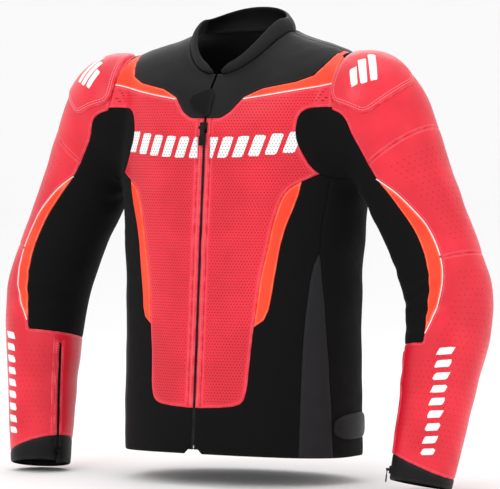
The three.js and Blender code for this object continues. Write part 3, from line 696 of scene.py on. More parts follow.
def build(name, outer, inner, tris, edge, run, cloth, material, mirror=False, rest=None):
    """A closed mesh between an outer and an inner surface, storing what its material reads on its points."""
    count = len(outer)
    pairs = np.concatenate([tris[:, [0, 1]], tris[:, [1, 2]], tris[:, [2, 0]]])
    key = pairs[:, 0] * count + pairs[:, 1]
    back = pairs[:, 1] * count + pairs[:, 0]
    rim = pairs[~np.isin(key, back)]
    walls = np.concatenate(
        [
            np.stack([rim[:, 1], rim[:, 0], rim[:, 0] + count], 1),
            np.stack([rim[:, 1], rim[:, 0] + count, rim[:, 1] + count], 1),
        ]
    )
    points = np.concatenate([outer, inner])
    faces = np.concatenate([tris, tris[:, ::-1] + count, walls])
    if mirror:
        points = points * [-1, 1, 1]
        faces = faces[:, ::-1]
    mesh = bpy.data.meshes.new(name)
    mesh.vertices.add(len(points))
    mesh.vertices.foreach_set("co", points.astype(np.float32).ravel())
    mesh.loops.add(faces.size)
    mesh.loops.foreach_set("vertex_index", faces.astype(np.int32).ravel())
    mesh.polygons.add(len(faces))
    mesh.polygons.foreach_set("loop_start", np.arange(0, faces.size, 3, dtype=np.int32))
    mesh.polygons.foreach_set("use_smooth", np.ones(len(faces), bool))
    mesh.update(calc_edges=True)
    mesh.validate()
    for label, values in (("edge", edge), ("run", run)):
        layer = mesh.attributes.new(label, "FLOAT", "POINT")
        layer.data.foreach_set("value", np.concatenate([values, values]).astype(np.float32))
    for label, values in (("cloth", cloth), ("rest", outer if rest is None else rest)):
        layer = mesh.attributes.new(label, "FLOAT_VECTOR", "POINT")
        layer.data.foreach_set("vector", np.concatenate([values, values]).astype(np.float32).ravel())
    mesh.set_sharp_from_angle(angle=math.radians(48))
    mesh.materials.append(material)
    piece = bpy.data.objects.new(name, mesh)
    bpy.context.scene.collection.objects.link(piece)
    return piece


ROLL = 0.0042


def sewn_piece(
    name, cut, sewn, material, arm=False, thick=0.0034, lift=0.0, dip=0.0017, crown=0.0005, sides=("",),
    roll=ROLL
):
    """A panel whose sewn edges roll down into the seam; sides are "", or "_left" and "_right"."""
    edge, run = edge_and_run(cut.points, sewn)
    for level in (0.22 * roll, 0.5 * roll, roll):
        cut = cut.sliced(edge_and_run(cut.points, sewn)[0] - level, both=True)
    edge, run = edge_and_run(cut.points, sewn)
    cloth = place_on_cloth(cut.points, arm)
    fall = 1 - np.sqrt(np.clip(1 - (1 - np.clip(edge / roll, 0, 1)) ** 2.2, 0, 1))
    swell = 1 - np.exp(-edge / 0.014)
    rise = lift - dip * fall + crown * swell
    outer = cut.points + cut.normals * rise[:, None]
    inner = cut.points + cut.normals * min(0, lift - thick)
    pieces = []
    for side in sides:
        pieces.append(
            build(name + side, outer, inner, cut.tris, edge, run, cloth, material, side == "_right")
        )
    surface = Cut(outer, cut.normals, cut.tris)
    return pieces, surface


LEFT_RIGHT = ("_left", "_right")

# ---- Finishes ------------------------------------------------------------------------------------


class Bench:
    """Lays nodes into one node tree and joins them."""

    def __init__(self, tree):
        self.tree = tree

    def node(self, kind, inputs=None, **settings):
        node = self.tree.nodes.new(kind)
        for key, value in settings.items():
            setattr(node, key, value)
        for key, value in (inputs or {}).items():
            self.feed(node.inputs[key], value)
        return node

    def feed(self, socket, value):
        if isinstance(value, bpy.types.NodeSocket):
            self.tree.links.new(value, socket)
        else:
            socket.default_value = value

    def math(self, operation, a, b=0.0):
        return self.node("ShaderNodeMath", {0: a, 1: b}, operation=operation).outputs[0]

    def steps(self, value, low, high):
        """0 below low, 1 above high, and smooth between; or the other way round if low is the greater."""
        turned = low > high
        ends = {
            "From Min": min(low, high),
            "From Max": max(low, high),
            "To Min": float(turned),
            "To Max": float(not turned),
        }
        return self.node(
            "ShaderNodeMapRange", {"Value": value, **ends}, interpolation_type="SMOOTHSTEP"
        ).outputs[0]

    def mixed(self, factor, a, b):
        return self.node("ShaderNodeMix", {0: factor, 6: a, 7: b}, data_type="RGBA").outputs[2]

    def stored(self, name):
        node = self.node("ShaderNodeAttribute", attribute_type="GEOMETRY", attribute_name=name)
        return node.outputs["Vector" if name in ("cloth", "rest") else "Fac"]


NUMBER = "NodeSocketFloat"
PLACE = "NodeSocketVector"


def effect(name, inputs, outputs, draw):
    tree = bpy.data.node_groups.new(name, "ShaderNodeTree")
    for label, kind, value in inputs:
        socket = tree.interface.new_socket(label, in_out="INPUT", socket_type=kind)
        if kind == NUMBER:
            socket.default_value = value
    for label in outputs:
        tree.interface.new_socket(label, in_out="OUTPUT", socket_type=NUMBER)
    bench = Bench(tree)
    given = bench.node("NodeGroupInput").outputs
    results = bench.node("NodeGroupOutput")
    for label, value in zip(outputs, draw(bench, given)):
        bench.feed(results.inputs[label], value)
    return tree


def draw_grain(b, given):
    scale = b.math("DIVIDE", 1.0, given["Pebble"])
    pebbles = b.node(
        "ShaderNodeTexVoronoi", {"Vector": given["Place"], "Scale": scale}, feature="DISTANCE_TO_EDGE"
    )
    creases = b.node(
        "ShaderNodeTexNoise", {
            "Vector": given["Place"], "Scale": b.math("MULTIPLY", scale, 0.22), "Detail": 5.0
        }
    )
    broad = b.node("ShaderNodeTexNoise", {"Vector": given["Place"], "Scale": 17.0, "Detail": 3.0})
    height = b.math(
        "ADD", b.steps(pebbles.outputs["Distance"], 0.0, 0.28), b.math("MULTIPLY", creases.outputs[0], 0.8)
    )
    return height, b.steps(broad.outputs[0], 0.32, 0.68)


leather_grain = effect(
    "leather grain", [("Place", PLACE, 0), ("Pebble", NUMBER, 0.0012)], ["Height", "Shade"], draw_grain
)


def draw_stitches(b, given):
    off = b.math("ABSOLUTE", b.math("SUBTRACT", given["Edge"], given["Inset"]))
    across = b.math("SUBTRACT", 1.0, b.math("DIVIDE", off, given["Thread"]))
    across = b.steps(across, 0.0, 0.6)
    turn = b.math("FRACT", b.math("DIVIDE", given["Run"], given["Pitch"]))
    along = b.steps(b.math("ABSOLUTE", b.math("SUBTRACT", turn, 0.5)), 0.4, 0.3)
    groove = b.steps(b.math("DIVIDE", off, given["Thread"]), 3.2, 0.8)
    mask = b.math("MULTIPLY", across, along)
    return mask, b.math("SUBTRACT", mask, groove)


stitch_row = effect(
    "stitch row",
    [
        ("Edge", NUMBER, 0.0),
        ("Run", NUMBER, 0.0),
        ("Inset", NUMBER, 0.0035),
        ("Pitch", NUMBER, 0.0036),
        ("Thread", NUMBER, 0.00045),
    ],
    ["Mask", "Height"],
    draw_stitches,
)


def draw_holes(b, given):
    parts = b.node("ShaderNodeSeparateXYZ", {0: given["Cloth"]})
    rise = b.math("MULTIPLY", given["Pitch"], 0.866)
    row = b.math("DIVIDE", parts.outputs[1], rise)
    shift = b.math("MULTIPLY", b.math("PINGPONG", b.math("FLOOR", row), 1.0), 0.5)
    column = b.math("ADD", b.math("DIVIDE", parts.outputs[0], given["Pitch"]), shift)
    dx = b.math("MULTIPLY", b.math("SUBTRACT", b.math("FRACT", column), 0.5), given["Pitch"])
    dy = b.math("MULTIPLY", b.math("SUBTRACT", b.math("FRACT", row), 0.5), rise)
    far = b.math("SQRT", b.math("ADD", b.math("MULTIPLY", dx, dx), b.math("MULTIPLY", dy, dy)))
    size = b.math("DIVIDE", far, given["Radius"])
    hole = b.steps(size, 1.15, 0.8)
    room = b.steps(b.math("SUBTRACT", given["Edge"], given["Margin"]), 0.0, 0.0008)
    return (b.math("MULTIPLY", hole, room),)


punched_holes = effect(
    "punched holes",
    [
        ("Cloth", PLACE, 0),
        ("Edge", NUMBER, 0.0),
        ("Pitch", NUMBER, 0.0036),
        ("Radius", NUMBER, 0.0007),
        ("Margin", NUMBER, 0.006),
    ],
    ["Mask"],
    draw_holes,
)


def draw_wear(b, given):
    patchy = b.node("ShaderNodeTexNoise", {"Vector": given["Place"], "Scale": 90.0, "Detail": 4.0})
    near = b.math("SUBTRACT", 1.0, b.math("DIVIDE", given["Edge"], given["Reach"]))
    near = b.steps(near, 0.0, 1.0)
    return (b.math("MULTIPLY", near, b.steps(patchy.outputs[0], 0.35, 0.7)),)


edge_wear = effect(
    "edge wear", [("Edge", NUMBER, 0.0), ("Place", PLACE, 0), ("Reach", NUMBER, 0.004)], ["Mask"], draw_wear
)


def draw_weave(b, given):
    parts = b.node("ShaderNodeSeparateXYZ", {0: given["Cloth"]})
    turn = b.math("DIVIDE", 6.2832, given["Pitch"])
    warp = b.math("SINE", b.math("MULTIPLY", parts.outputs[0], turn))
    weft = b.math("SINE", b.math("MULTIPLY", parts.outputs[1], b.math("MULTIPLY", turn, given["Slant"])))
    slub = b.node("ShaderNodeTexNoise", {"Vector": given["Cloth"], "Scale": 60.0, "Detail": 4.0})
    return b.math("MULTIPLY", warp, weft), b.steps(slub.outputs[0], 0.3, 0.7)


def draw_knit(b, given):
    height, slub = draw_weave(b, given)
    return b.math("ADD", b.math("MULTIPLY", height, 0.5), 0.5), slub


cloth_weave = effect(
    "cloth weave",
    [("Cloth", PLACE, 0), ("Pitch", NUMBER, 0.0012), ("Slant", NUMBER, 1.0)],
    ["Height", "Slub"],
    draw_knit,
)


def new_material(name):
    material = bpy.data.materials.new(name)
    material.use_nodes = True
    material.node_tree.nodes.clear()
    bench = Bench(material.node_tree)
    shader = bench.node("ShaderNodeBsdfPrincipled")
    output = bench.node("ShaderNodeOutputMaterial")
    bench.feed(output.inputs["Surface"], shader.outputs[0])
    return material, bench, shader


def rgb(r, g, b):
    """A colour as it is mixed on screen, 0 to 255, turned to linear light."""
    return (*[((c / 255 + 0.055) / 1.055) ** 2.4 if c > 10 else c / 3294 for c in (r, g, b)], 1.0)


def leather(
    name, colour, deep, worn, thread, rough, holes=None, insets=(0.0034,), coat=0.1, gloss=0.4, depth=0.45
):
    material, b, shader = new_material(name)
    edge = b.stored("edge")
    run = b.stored("run")
    rest = b.stored("rest")
    grain = b.node("ShaderNodeGroup", {}, node_tree=leather_grain)
    b.feed(grain.inputs["Place"], rest)
    b.feed(grain.inputs["Pebble"], 0.0012)
    wear = b.node("ShaderNodeGroup", {}, node_tree=edge_wear)
    b.feed(wear.inputs["Place"], rest)
    b.feed(wear.inputs["Edge"], edge)
    b.feed(wear.inputs["Reach"], 0.0045)
    tone = b.mixed(grain.outputs["Shade"], deep, colour)
    tone = b.mixed(b.math("MULTIPLY", wear.outputs[0], 0.45), tone, worn)
    height = b.math("MULTIPLY", grain.outputs["Height"], 0.16)
    dull = b.math("ADD", b.math("MULTIPLY", grain.outputs["Shade"], -0.07), rough)
    for inset in insets:
        row = b.node("ShaderNodeGroup", {}, node_tree=stitch_row)
        b.feed(row.inputs["Edge"], edge)
        b.feed(row.inputs["Run"], run)
        b.feed(row.inputs["Inset"], inset)
        tone = b.mixed(row.outputs["Mask"], tone, thread)
        height = b.math("ADD", height, b.math("MULTIPLY", row.outputs["Height"], 0.55))
    if holes:
        pitch, radius, margin = holes
        punched = b.node("ShaderNodeGroup", {}, node_tree=punched_holes)
        b.feed(punched.inputs["Cloth"], b.stored("cloth"))
        b.feed(punched.inputs["Edge"], edge)
        b.feed(punched.inputs["Pitch"], pitch)
        b.feed(punched.inputs["Radius"], radius)
        b.feed(punched.inputs["Margin"], margin)
        # Painted shade: each punched hole is coloured a darkened copy of the deep tone, standing in for the
        # shade inside the hole.
        dark = tuple(c * 0.2 for c in deep[:3]) + (1.0,)
        tone = b.mixed(b.math("MULTIPLY", punched.outputs[0], 0.85), tone, dark)
        height = b.math("SUBTRACT", height, b.math("MULTIPLY", punched.outputs[0], 1.2))
        dull = b.math("ADD", dull, b.math("MULTIPLY", punched.outputs[0], 0.4))
    bump = b.node("ShaderNodeBump", {"Height": height, "Strength": depth, "Distance": 0.0006})
    b.feed(shader.inputs["Base Color"], tone)
    b.feed(shader.inputs["Roughness"], dull)
    b.feed(shader.inputs["Normal"], bump.outputs[0])
    shader.inputs["Coat Weight"].default_value = coat
    shader.inputs["Coat Roughness"].default_value = 0.35
    shader.inputs["Specular IOR Level"].default_value = gloss
    return material


def woven(name, colour, pale, pitch, slant, rough, sheen, depth, rows=True, thread=None):
    material, b, shader = new_material(name)
    weave = b.node("ShaderNodeGroup", {}, node_tree=cloth_weave)
    b.feed(weave.inputs["Cloth"], b.stored("cloth"))
    b.feed(weave.inputs["Pitch"], pitch)
    b.feed(weave.inputs["Slant"], slant)
    tone = b.mixed(b.math("MULTIPLY", weave.outputs["Height"], 0.5), colour, pale)
    tone = b.mixed(b.math("MULTIPLY", weave.outputs["Slub"], 0.35), tone, pale)
    height = b.math("MULTIPLY", weave.outputs["Height"], 0.5)
    if rows:
        row = b.node("ShaderNodeGroup", {}, node_tree=stitch_row)
        b.feed(row.inputs["Edge"], b.stored("edge"))
        b.feed(row.inputs["Run"], b.stored("run"))
        tone = b.mixed(row.outputs["Mask"], tone, thread or pale)
        height = b.math("ADD", height, b.math("MULTIPLY", row.outputs["Height"], 0.5))
    bump = b.node("ShaderNodeBump", {"Height": height, "Strength": depth, "Distance": 0.0005})
    b.feed(shader.inputs["Base Color"], tone)
    b.feed(shader.inputs["Roughness"], b.math("ADD", b.math("MULTIPLY", weave.outputs["Slub"], 0.1), rough))
    b.feed(shader.inputs["Normal"], bump.outputs[0])
    shader.inputs["Sheen Weight"].default_value = sheen
    shader.inputs["Sheen Roughness"].default_value = 0.4
    shader.inputs["Specular IOR Level"].default_value = 0.12
    return material


def moulded(name, colour, pale, rough, metallic, scale, depth):
    """Metal, foam or moulded plastic: a fine speckle over a slow change of tone."""
    material, b, shader = new_material(name)
    place = b.node("ShaderNodeTexCoord").outputs["Object"]
    speckle = b.node("ShaderNodeTexNoise", {"Vector": place, "Scale": scale, "Detail": 4.0})
    broad = b.node("ShaderNodeTexNoise", {"Vector": place, "Scale": 60.0, "Detail": 3.0})
    tone = b.mixed(b.steps(broad.outputs[0], 0.3, 0.7), colour, pale)
    bump = b.node("ShaderNodeBump", {"Height": speckle.outputs[0], "Strength": depth, "Distance": 0.0004})
    b.feed(shader.inputs["Base Color"], tone)
    b.feed(
        shader.inputs["Roughness"], b.math("ADD", b.math("MULTIPLY", speckle.outputs[0], 0.2), rough - 0.1)
    )
    b.feed(shader.inputs["Normal"], bump.outputs[0])
    shader.inputs["Metallic"].default_value = metallic
    return material


RED = rgb(228, 26, 50)
DEEP_RED = rgb(212, 16, 42)
PALE_RED = rgb(244, 110, 124)
ORANGE = rgb(255, 62, 20)
DEEP_ORANGE = rgb(246, 48, 14)
BLACK = rgb(21, 21, 22)
DEEP_BLACK = rgb(15, 15, 16)
WORN_BLACK = rgb(46, 46, 47)

red_leather = leather("red leather", RED, DEEP_RED, PALE_RED, rgb(246, 92, 106), 0.44)
punched_red = leather(
    "punched red leather", RED, DEEP_RED, PALE_RED, rgb(246, 92, 106), 0.44, holes=(0.0047, 0.00092, 0.0062)
)
arm_red = leather(
    "red sleeve leather", RED, DEEP_RED, PALE_RED, rgb(246, 92, 106), 0.42, holes=(0.0088, 0.0007, 0.02)
)
cup_red = leather(
    "red cup leather", RED, DEEP_RED, PALE_RED, rgb(250, 150, 158), 0.4, insets=(0.0046, 0.0078), coat=0.2
)
orange_leather = leather(
    "orange leather", ORANGE, DEEP_ORANGE, rgb(255, 140, 104), rgb(255, 130, 84), 0.5, insets=(0.002,),
    coat=0.05
)
black_leather = leather(
    "black leather", BLACK, DEEP_BLACK, WORN_BLACK, rgb(40, 40, 41), 0.5, coat=0.0, gloss=0.14, depth=0.5
)
flap_leather = leather(
    "black flap leather",
    rgb(15, 15, 16),
    rgb(11, 11, 12),
    WORN_BLACK,
    rgb(30, 30, 31),
    0.58,
    coat=0.0,
    gloss=0.08,
)
white_piping = leather(
    "white piping",
    rgb(240, 236, 234),
    rgb(226, 218, 216),
    rgb(250, 250, 250),
    rgb(240, 236, 234),
    0.5,
    insets=(),
)
white_print = leather(
    "white print",
    rgb(244, 244, 242),
    rgb(236, 234, 232),
    rgb(250, 250, 250),
    rgb(240, 236, 234),
    0.5,
    holes=(0.0047, 0.00092, -1.0),
    insets=(),
    coat=0.0,
    depth=0.25,
)
plain_white = leather(
    "white emblem", rgb(244, 244, 242), rgb(236, 234, 232), rgb(250, 250, 250), rgb(240, 236, 234), 0.5,
    insets=(), coat=0.0
)
stretch_cloth = woven("black stretch cloth", rgb(7, 7, 8), rgb(16, 16, 17), 0.0016, 0.5, 0.82, 0.02, 0.5)
grey_cloth = woven("grey ripstop", rgb(28, 28, 30), rgb(42, 42, 44), 0.0022, 1.0, 0.6, 0.05, 0.45)
collar_cloth = woven("collar cloth", rgb(26, 26, 27), rgb(40, 40, 42), 0.0015, 1.0, 0.7, 0.05, 0.5)
mesh_cloth = woven("lining mesh", rgb(14, 14, 15), rgb(44, 44, 46), 0.0042, 1.0, 0.85, 0.2, 0.8, rows=False)
zip_tape = woven("zip tape", rgb(14, 14, 15), rgb(34, 34, 35), 0.0009, 0.6, 0.75, 0.2, 0.5, rows=False)
tooth_metal = moulded("dark zip teeth", rgb(30, 30, 31), rgb(58, 58, 60), 0.36, 0.75, 900.0, 0.15)
slider_metal = moulded("lacquered slider", rgb(26, 26, 27), rgb(48, 48, 50), 0.34, 0.85, 700.0, 0.2)
pad_foam = moulded("protector foam", rgb(34, 38, 44), rgb(58, 64, 72), 0.85, 0.0, 1400.0, 0.7)

# ---- Panels of the body --------------------------------------------------------------------------


def mirrored(line):
    def measure(p):
        return line(p * [-1, 1, 1])

    return measure


above_yoke_line = yoke_line
below_yoke_line = flipped(yoke_line)
above_trim = trim_line
below_trim = flipped(trim_line)
before_armhole = flipped(armhole)
before_right_armhole = flipped(mirrored(armhole))
shoulder_seam = plane((0, 0, 0), (0, -1, 0), (1, 0, 0))
behind_shoulder = flipped(shoulder_seam)
centre_front = zip_edge(0.0003)
by_facing = zip_edge(0.0102)
by_zip = zip_edge(0.0021)


def inside_armpit(p):
    side, run = chest_side(p)
    return np.minimum(side, 0.004 - p[:, 1]), run


outside_armpit = flipped(inside_armpit)
off_chest = chest_edge
on_chest = flipped(chest_edge)
chamfer = plane((0.002, 0, -0.553), (1, 0, 1), (1, 0, -1))
foot_of_facing = plane((0, 0, -0.5005), (0, 0, 1), (1, 0, 0))

yoke_sewn = [above_yoke_line, shoulder_seam, centre_front, neck]
cut = cut_out(trunk, yoke_sewn, [before_armhole])
front_yokes, _ = sewn_piece("front_yoke", cut, yoke_sewn, black_leather, sides=LEFT_RIGHT)

trim_sewn = [below_yoke_line, above_trim, shoulder_seam, before_armhole]
cut = cut_out(trunk, trim_sewn)
shoulder_trims, _ = sewn_piece("shoulder_trim", cut, trim_sewn, orange_leather, sides=LEFT_RIGHT)

chest_sewn = [below_yoke_line, below_trim, outside_armpit, on_chest, by_facing, before_armhole]
cut = cut_out(trunk, chest_sewn, [shoulder_seam])
chest_panels, chest_surface = sewn_piece("chest_panel", cut, chest_sewn, punched_red, sides=LEFT_RIGHT)

facing_sewn = [below_yoke_line, foot_of_facing, by_zip, flipped(zip_edge(0.0101))]
cut = cut_out(trunk, facing_sewn, [shoulder_seam])
zip_facings, _ = sewn_piece("zip_facing", cut, facing_sewn, red_leather, sides=LEFT_RIGHT, roll=0.0028)

armpit_sewn = [inside_armpit]
cut = cut_out(trunk, armpit_sewn, [before_armhole, shoulder_seam])
armpit_panels, _ = sewn_piece("armpit_panel", cut, armpit_sewn, stretch_cloth, sides=LEFT_RIGHT)

strip_sewn = [off_chest, flipped(strip_edge)]
cut = cut_out(trunk, strip_sewn, [shoulder_seam])
side_strips, _ = sewn_piece("side_strip", cut, strip_sewn, orange_leather, sides=LEFT_RIGHT, roll=0.003)

front_side_sewn = [off_chest, strip_edge, front_side_seam, outside_armpit, by_zip, hem, chamfer]
cut = cut_out(trunk, front_side_sewn, [before_armhole, shoulder_seam])
front_sides, _ = sewn_piece("front_side_panel", cut, front_side_sewn, stretch_cloth, sides=LEFT_RIGHT)

insert_sewn = [flipped(front_side_seam), flipped(insert_rear), hem]
cut = cut_out(trunk, insert_sewn)
side_inserts, _ = sewn_piece("side_insert", cut, insert_sewn, grey_cloth, sides=LEFT_RIGHT)

side_sewn = [flipped(front_side_seam), insert_rear, flipped(side_seam), outside_armpit, hem]
cut = cut_out(trunk, side_sewn, [before_armhole])
side_panels, _ = sewn_piece("side_panel", cut, side_sewn, stretch_cloth, sides=LEFT_RIGHT)

back_yoke_sewn = [flipped(back_yoke_line), behind_shoulder, neck, before_armhole, before_right_armhole]
cut = cut_out(back_face, back_yoke_sewn)
(back_yoke,), _ = sewn_piece("back_yoke", cut, back_yoke_sewn, black_leather)

back_sewn = [
    back_yoke_line, flipped(back_edge), side_seam, mirrored(side_seam), before_armhole, before_right_armhole
]
cut = cut_out(back_face, back_sewn, [behind_shoulder])
(back_panel,), _ = sewn_piece("back_panel", cut, back_sewn, punched_red)

lower_sewn = [back_edge, side_seam, mirrored(side_seam), hem]
cut = cut_out(back_face, lower_sewn, [behind_shoulder])
(lower_back,), _ = sewn_piece("lower_back_panel", cut, lower_sewn, stretch_cloth)

for pieces, node, finish in (
    (front_yokes, "front_yoke", "black_leather"),
    (shoulder_trims, "shoulder_trim", "orange_leather"),
    (chest_panels, "chest_panel", "red_leather"),
    (armpit_panels, "armpit_panel", "black_stretch"),
    (side_strips, "side_strip", "orange_leather"),
    (front_sides, "front_side_panel", "black_stretch"),
    (side_inserts, "side_insert", "grey_textile"),
    (side_panels, "side_panel", "black_stretch"),
):
    for piece, side in zip(pieces, LEFT_RIGHT):
        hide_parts(node + side)
        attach(piece, "torso")
for piece, node, finish in (
    (back_yoke, "back_yoke", "black_leather"),
    (back_panel, "back_panel", "red_leather"),
    (lower_back, "lower_back_panel", "black_stretch"),
):
    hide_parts(node)
    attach(piece, "torso")
for piece in zip_facings:
    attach(piece, "torso")

# ---- Panels of the sleeves -----------------------------------------------------------------------

on_stretch = closer(flipped(stretch_front), stretch_back)
off_stretch = closer(stretch_front, flipped(stretch_back))
past_head = ring_plane(3.0)
before_head = flipped(past_head)
past_elbow_seam = ring_plane(5.9)
before_elbow_seam = flipped(past_elbow_seam)
cuff_points = sleeve(np.array([11.65, 11.1, 11.35]), np.array([20.0, 165.0, 270.0]))
cuff_normal = np.cross(cuff_points[1] - cuff_points[0], cuff_points[2] - cuff_points[0])
cuff_normal = cuff_normal * (-1 if cuff_normal[2] > 0 else 1)
wrist_axis = sleeve_frame(12.0)


def arm_run(p):
    centre, _, out, fore, _, _ = wrist_axis
    r = p - centre
    return np.arctan2(r @ fore, r @ out) * 0.046


def past_cuff_line(p):
    return (p - cuff_points[0]) @ unit(cuff_normal), arm_run(p)


before_cuff_line = flipped(past_cuff_line)
before_cuff_end = flipped(ring_plane(CUFF_END))

CUFF_ZIP_TOP = sleeve(8.6, 150)
CUFF_U = np.array([0.4514, -0.8867, 0.1])
CUFF_V = np.array([-0.8904, -0.4403, 0.115])
CUFF_W = np.array([-0.0579, -0.141, -0.9883])


def off_cuff_zip(p):
    r = p - CUFF_ZIP_TOP
    u = r @ CUFF_U
    w = r @ CUFF_W
    side = np.maximum(np.abs(u) - 0.0024, -w)
    return np.where(r @ CUFF_V > -0.03, side, 0.05), w


def turns_at_shoulder(piece, side):
    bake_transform(piece)


def turns_at_elbow(piece, side):
    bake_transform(piece)


arm = left_half.sliced(past_armhole(left_half.points))

head_sewn = [off_stretch, before_head, armhole]
cut = cut_out(arm, head_sewn)
heads, _ = sewn_piece("shoulder_panel", cut, head_sewn, red_leather, arm=True, sides=LEFT_RIGHT)

def in_front(line):
    """The line's field, kept positive on the rear half of the arm, which it doesn't reach."""
    def measure(p):
        side, run = line(p)
        return np.where(p[:, 1] > 0, np.maximum(side, 0.05), side), run

    return measure


upper_sewn = [off_stretch, past_head, before_elbow_seam, in_front(arm_trim_line)]
cut = cut_out(arm, upper_sewn)
uppers, _ = sewn_piece("upper_arm_panel", cut, upper_sewn, arm_red, arm=True, sides=LEFT_RIGHT)

inner_sewn = [on_stretch]
cut = cut_out(arm, inner_sewn, [flipped(ring_plane(5.4)), armhole])
inners, _ = sewn_piece("inner_sleeve", cut, inner_sewn, stretch_cloth, arm=True, sides=LEFT_RIGHT)

band_sewn = [stretch_front, flipped(arm_trim_line)]
cut = cut_out(arm, band_sewn, [before_elbow_seam])
bands, _ = sewn_piece("arm_trim", cut, band_sewn, orange_leather, arm=True, sides=LEFT_RIGHT, roll=0.003)

elbow_inner_sewn = [flipped(stretch_foot)]
cut = cut_out(arm, elbow_inner_sewn, [ring_plane(5.4)])
elbow_inners, _ = sewn_piece(
    "elbow_stretch", cut, elbow_inner_sewn, stretch_cloth, arm=True, sides=LEFT_RIGHT
)

elbow_band_sewn = [stretch_foot, flipped(inner_foot)]
cut = cut_out(arm, elbow_band_sewn, [past_elbow_seam, flipped(ring_plane(8.16))])
elbow_bands, _ = sewn_piece(
    "elbow_trim", cut, elbow_band_sewn, orange_leather, arm=True, sides=LEFT_RIGHT, roll=0.003
)

forearm_sewn = [past_elbow_seam, inner_foot, before_cuff_line, off_cuff_zip]
cut = cut_out(arm, forearm_sewn)
forearms, forearm_surface = sewn_piece(
    "forearm_panel", cut, forearm_sewn, arm_red, arm=True, sides=LEFT_RIGHT
)

cuff_sewn = [past_cuff_line, before_cuff_end, off_cuff_zip]
cut = cut_out(arm, cuff_sewn)
cuffs, _ = sewn_piece("cuff", cut, cuff_sewn, black_leather, arm=True, sides=LEFT_RIGHT)

for pieces, node, finish, turns in (
    (heads, "shoulder_panel", "red_leather", turns_at_shoulder),
    (uppers, "upper_arm_panel", "red_leather", turns_at_shoulder),
    (inners, "inner_sleeve", "black_stretch", turns_at_shoulder),
    (bands, "arm_trim", "orange_leather", turns_at_shoulder),
    (elbow_inners, "elbow_gusset", "black_stretch", turns_at_elbow),
    (elbow_bands, None, "orange_leather", turns_at_elbow),
    (forearms, "forearm_panel", "red_leather", turns_at_elbow),
):
    for piece, side in zip(pieces, LEFT_RIGHT):
        if node:
            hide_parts(node + side)
        turns(piece, side)
for piece, side in zip(heads, LEFT_RIGHT):
    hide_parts("shoulder_gusset" + side)
for piece, side in zip(cuffs, LEFT_RIGHT):
    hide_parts("cuff" + side)
    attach(piece, "forearm" + side)

# ---- Pieces raised on the panels or kept inside --------------------------------------------------


def outline(rows):
    """A closed line, positive inside."""
    line = Seam(rows, closed=True)
    middle = line.p.mean(0)
    nearest = skin_tree.find_nearest(Vector(middle))[0]
    return line if line(np.array([list(nearest)]))[0][0] > 0 else flipped(line)


def front_outline(points, rounds=2):
    return outline(laid_from(finely(corners_cut(points, rounds, True), 2, True), -1))


def back_outline(points, rounds=2):
    return outline(laid_from(finely(corners_cut(points, rounds, True), 3, True), 1))


def side_outline(points, rounds=2):
    rows = finely(corners_cut(points, rounds, True), 2, True)
    return outline(laid_near([body(a, body_level(a, z)) for a, z in rows]))


def arm_outline(points, rounds=2):
    rows = finely(corners_cut(points, rounds, True) * [40, 1], 2, True) / [40, 1]
    return outline(laid_near(sleeve(rows[:, 0], rows[:, 1])))


def straight_sided(rows):
    """A flat-sided print's field: positive inside a convex outline laid on the skin."""
    p = np.array([list(a) for a, _ in rows])
    n = np.array([list(b) for _, b in rows]).mean(0)
    step = unit(np.roll(p, -1, 0) - p)
    left = unit(np.cross(n, step))
    turn = 1 if ((p.mean(0) - p) * left).sum() > 0 else -1

    def measure(q):
        side = (turn * ((q[:, None] - p[None]) * left[None]).sum(2)).min(1)
        near = np.linalg.norm(q - p.mean(0), axis=1) < 0.05
        return np.where(near, side, -0.01), q[:, 2]

    return measure


def printed(name, surface, line, material, arm=False, sides=("",), proud=0.00035):
    """A thin print laid on a panel."""
    cut = surface.sliced(line(surface.points)[0])
    edge, run = line(cut.points)
    cloth = place_on_cloth(cut.points, arm)
    outer = cut.points + cut.normals * proud
    inner = cut.points - cut.normals * 0.0002
    return [
        build(
            name + side, outer, inner, cut.tris, np.maximum(edge, 0), run, cloth, material,
            side == "_right"
        )
        for side in sides
    ]


def lofted(name, rings, material, edge=None, cloth=None, mirror=False):
    """A closed body through rings of points, its two ends capped."""
    rows, around = rings.shape[:2]
    points = rings.reshape(-1, 3)
    i, j = np.meshgrid(np.arange(rows - 1), np.arange(around), indexing="ij")
    k = (j + 1) % around
    a, b, c, d = i * around + j, i * around + k, (i + 1) * around + k, (i + 1) * around + j
    faces = [tuple(f) for f in np.stack([a, b, c, d], -1).reshape(-1, 4).tolist()]
    faces.append(tuple(reversed(range(around))))
    faces.append(tuple(range((rows - 1) * around, rows * around)))
    if mirror:
        points = points * [-1, 1, 1]
        faces = [tuple(reversed(face)) for face in faces]
    mesh = bpy.data.meshes.new(name)
    mesh.from_pydata(points.tolist(), [], faces)
    mesh.polygons.foreach_set("use_smooth", np.ones(len(mesh.polygons), bool))
    along = np.linalg.norm(np.diff(rings[:, 0], axis=0), axis=1)
    along = np.repeat(np.concatenate([[0], np.cumsum(along)]), around)
    round_ = np.linalg.norm(np.diff(rings[rows // 2], axis=0, append=rings[rows // 2, :1]), axis=1)
    round_ = np.tile(np.concatenate([[0], np.cumsum(round_)[:-1]]), rows)
    values = {"edge": np.full(rows * around, 0.02) if edge is None else edge.ravel(), "run": along}
    for label, value in values.items():
        mesh.attributes.new(label, "FLOAT", "POINT").data.foreach_set("value", value.astype(np.float32))
    places = {"cloth": np.stack([along, round_, 0 * along], 1) if cloth is None else cloth, "rest": points}
    for label, value in places.items():
        layer = mesh.attributes.new(label, "FLOAT_VECTOR", "POINT")
        layer.data.foreach_set("vector", value.astype(np.float32).ravel())
    mesh.set_sharp_from_angle(angle=math.radians(60))
    mesh.materials.append(material)
    piece = bpy.data.objects.new(name, mesh)
    bpy.context.scene.collection.objects.link(piece)
    return piece


